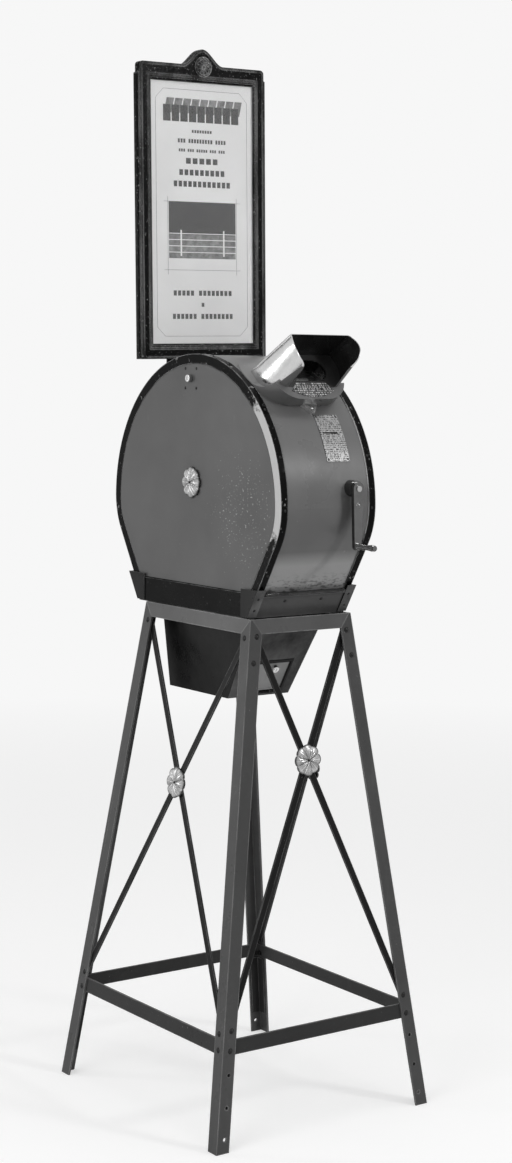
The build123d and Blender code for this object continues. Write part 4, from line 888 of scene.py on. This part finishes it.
for back in (4, 16):
    ring = []
    for x, z, sight_x, sight_z in sign_edge:
        outer_x, outer_z = beside_sight(sight_x, sight_z, rebate, rebate, rebate)
        ring.append(on_sign(outer_x, back * mm, outer_z))
    sign_rings.append(ring)
sign_points = [point for ring in sign_rings for point in ring]
sign_faces = []
around = len(sign_edge)
for ring in range(len(sign_rings)):
    after_ring = (ring + 1) % len(sign_rings)
    for step in range(around):
        after = (step + 1) % around
        sign_faces.append((
            ring * around + step, ring * around + after,
            after_ring * around + after, after_ring * around + step,
        ))
stained = enamel("stained_moulding", 0.005, 0.2, 0.3, 0.635, 0.0005)
sign_frame = new_piece(
    "sign_moulding", sign_points, sign_faces, "stand_and_cabinet", "dark_wood", stained, smooth_angle=40
)
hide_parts("sign_frame")
dress(stained, "sign_feet")

# Sign back: a thin dark board let into the back of the frame. It closes the sign behind the
# poster and has a duller black than the moulding.
back_board = enamel("back_board", 0.02, 0.5, 0.06, 0.74, 0.0002)
dress(back_board, "sign_back")

# Outer beads of the sign: a wooden strip glued down each side of the frame, stained like it,
# that stops short of the rounded top corners.
strip_points, strip_faces = [], []
strip_top = sign_height - 19 * mm
for side in (-1, 1):
    start = len(strip_points)
    for z in (0, strip_top - 1.5 * mm, strip_top):
        pinch = 1.5 * mm if z == strip_top else 0
        for x, y in ((0, 1), (0, 15), (4, 15), (4, 3), (2.6, 1)):
            reach = sign_half - sign_step + max(0, x * mm - pinch)
            strip_points.append(on_sign(side * reach, y * mm, z))
    for row in (0, 5):
        for step in range(5):
            after = (step + 1) % 5
            strip_faces.append((
                start + row + step, start + row + after, start + row + 5 + after, start + row + 5 + step
            ))
    strip_faces.append(tuple(start + step for step in range(5)))
    strip_faces.append(tuple(start + 14 - step for step in range(5)))
new_piece("sign_side_beads", strip_points, strip_faces, "stand_and_cabinet", "dark_wood", stained)

# Medallion: a disc of petals pressed in thin metal, with a ring of small knobs, pinned to the
# crest. It is painted black and its high places are rubbed bright.
medal_radius = 18 * mm
medal_petals = 10


def medal_height(share, turn):
    """Height of the medallion's face at a share of its radius."""
    rays = abs(math.cos(medal_petals / 2 * turn))
    if share < 0.16:
        return (3.2 - 8 * share) * mm
    if share < 0.72:
        return (1.0 + 2.6 * rays ** 0.7 * math.sin(math.pi * (share - 0.1) / 0.66)) * mm
    if share < 0.93:
        knob = abs(math.sin(medal_petals / 2 * turn)) ** 1.5
        return (0.8 + 2.4 * knob * math.sin(math.pi * (share - 0.72) / 0.21)) * mm
    return 1.2 * mm


medal_points, medal_faces = [], []
medal_seat = on_sign(0, -0.2 * mm, sign_height - 3 * mm)
polar_casting(
    medal_points, medal_faces, medal_seat, (0, -1, 0), medal_height,
    lambda turn: medal_radius, 22, 120, -1 * mm,
)
rubbed_black = enamel("rubbed_black", 0.015, 0.3, 0.5, 0.64, 0.0002)
new_piece(
    "sign_medallion", medal_points, medal_faces, "stand_and_cabinet", "dark_wood", rubbed_black,
    smooth_angle=60,
)

# Poster: pale card behind the glass, with a thin border, a toned picture of an empty ring
# and rows of plain strokes in place of words.
poster_paper, paper_shader = new_material("poster_paper", 0.8)
paper_tree = poster_paper.node_tree
paper_tint = ramp(paper_tree, place_noise(paper_tree, 6, 6), 0.3, grey(0.9), 0.72, grey(0.99))
paper_tree.links.new(paper_tint, paper_shader.inputs["Base Color"])
relief(paper_tree, paper_shader, place_noise(paper_tree, 300, 2), 0.00004)
poster_ink, ink_shader = new_material("poster_ink", 0.7)
ink_tree = poster_ink.node_tree
ink_tint = ramp(ink_tree, place_noise(ink_tree, 240, 3), 0.3, grey(0.02), 0.75, grey(0.07))
ink_tree.links.new(ink_tint, ink_shader.inputs["Base Color"])
poster_grey, tone_shader = new_material("poster_grey", 0.7)
tone_tree = poster_grey.node_tree
tone_tint = ramp(tone_tree, place_noise(tone_tree, 90, 5), 0.3, grey(0.1), 0.72, grey(0.36))
tone_tree.links.new(tone_tint, tone_shader.inputs["Base Color"])

poster_points, poster_faces, poster_inks = [], [], []
card_front = 6.3 * mm
card_back = 6.6 * mm
print_front = 6.2 * mm


def printed(x0, x1, z0, z1, ink, front=print_front, back=card_front, slant=0.0):
    """A thin printed block on the card, with its own ink."""
    start = len(poster_points)
    for y in (front, back):
        for x, z in ((x0, z0), (x1, z0), (x1 + slant, z1), (x0 + slant, z1)):
            poster_points.append(on_sign(x, y, z))
    for face in ((0, 1, 2, 3), (7, 6, 5, 4), (0, 4, 5, 1), (1, 5, 6, 2), (2, 6, 7, 3), (3, 7, 4, 0)):
        poster_faces.append(tuple(start + corner for corner in face))
        poster_inks.append(ink)


paper, ink, tone = 0, 1, 2
card_half = sight_half + rebate
card_low = sign_foot - rebate
card_high = sight_high + rebate
printed(-card_half, card_half, card_low, card_high, paper, card_front, card_back)


def from_top(share):
    """Height on the sign at a share of the way down the opening."""
    return sight_high - share * (sight_high - sign_foot)


def stroke_row(share, height, half, words):
    """A centred row of strokes, given by the lengths of its words."""
    total = sum(words) + 0.9 * (len(words) - 1)
    scale = 2 * half / total
    x = -half
    z = from_top(share)
    for word in words:
        letters = max(1, round(word))
        width = word * scale / letters
        for letter in range(letters):
            left = x + width * (letter + 0.12)
            printed(left, left + width * 0.7, z - height / 2, z + height / 2, ink)
        x += (word + 0.9) * scale


line = 0.5 * mm
border_x = 98 * mm
border_top = from_top(0.028)
border_low = from_top(0.972)
cut = 17 * mm
printed(-border_x + cut, border_x - cut, border_top - line, border_top, ink)
printed(-border_x + cut, border_x - cut, border_low, border_low + line, ink)
for side in (-1, 1):
    edge_low, edge_high = sorted((side * border_x, side * (border_x - line)))
    printed(edge_low, edge_high, border_low + cut, border_top - cut, ink)
    inner = side * (border_x - cut)
    for z_edge, z_inner in ((border_top - cut, border_top), (border_low, border_low + cut)):
        bottom = side * border_x if z_edge > from_top(0.5) else inner
        top_x = inner if z_edge > from_top(0.5) else side * border_x
        printed(bottom - line / 2, bottom + line / 2, z_edge, z_inner, ink, slant=top_x - bottom)

title_half = 82 * mm
title_blocks = 9
for block in range(title_blocks):
    width = 2 * title_half / title_blocks
    x = -title_half + width * block
    printed(x + 2 * mm, x + width - 0.6 * mm, from_top(0.118), from_top(0.062), tone, slant=6 * mm)
    printed(x, x + width - 2.6 * mm, from_top(0.15), from_top(0.088), ink, front=print_front - 0.05 * mm)
stroke_row(0.185, 5 * mm, 22 * mm, (8,))
stroke_row(0.222, 7 * mm, 52 * mm, (3, 9, 4))
stroke_row(0.258, 5 * mm, 50 * mm, (3, 3, 5, 3, 3))
stroke_row(0.298, 10 * mm, 36 * mm, (5,))
stroke_row(0.342, 10 * mm, 50 * mm, (9,))
stroke_row(0.386, 10 * mm, 62 * mm, (12,))

picture_half = 72 * mm
picture_top = from_top(0.455)
picture_low = from_top(0.715)
frame_line = 0.8 * mm
printed(-picture_half, picture_half, picture_low, picture_top, tone)
for z in (picture_low - frame_line, picture_top):
    printed(-picture_half - 10 * mm, picture_half + 10 * mm, z, z + frame_line * 0.6, ink)
for side in (-1, 1):
    x = side * (picture_half + 2 * mm)
    printed(x - 0.25 * mm, x + 0.25 * mm, picture_low - 9 * mm, picture_top + 9 * mm, ink)
near = print_front - 0.05 * mm
printed(-picture_half, picture_half, picture_low + 62 * mm, picture_top, ink, front=near)
for rope in range(4):
    z = picture_low + (30 + 11 * rope) * mm
    printed(-picture_half, picture_half, z, z + 1.4 * mm, paper, front=near - 0.03 * mm)
for side in (-1, 1):
    x = side * 46 * mm
    post_low, post_high = picture_low + 24 * mm, picture_low + 70 * mm
    printed(x - 1.6 * mm, x + 1.6 * mm, post_low, post_high, paper, front=near - 0.05 * mm)
printed(-picture_half, picture_half, picture_low, picture_low + 20 * mm, paper, front=near)
stroke_row(0.805, 9 * mm, 64 * mm, (5, 8))
stroke_row(0.85, 7 * mm, 4 * mm, (1,))
stroke_row(0.895, 9 * mm, 66 * mm, (6, 8))
poster = new_piece(
    "poster", poster_points, poster_faces, "stand_and_cabinet", "card", poster_paper, poster_ink, poster_grey
)
for face, which in zip(poster.data.polygons, poster_inks):
    face.material_index = which
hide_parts("sign_poster")
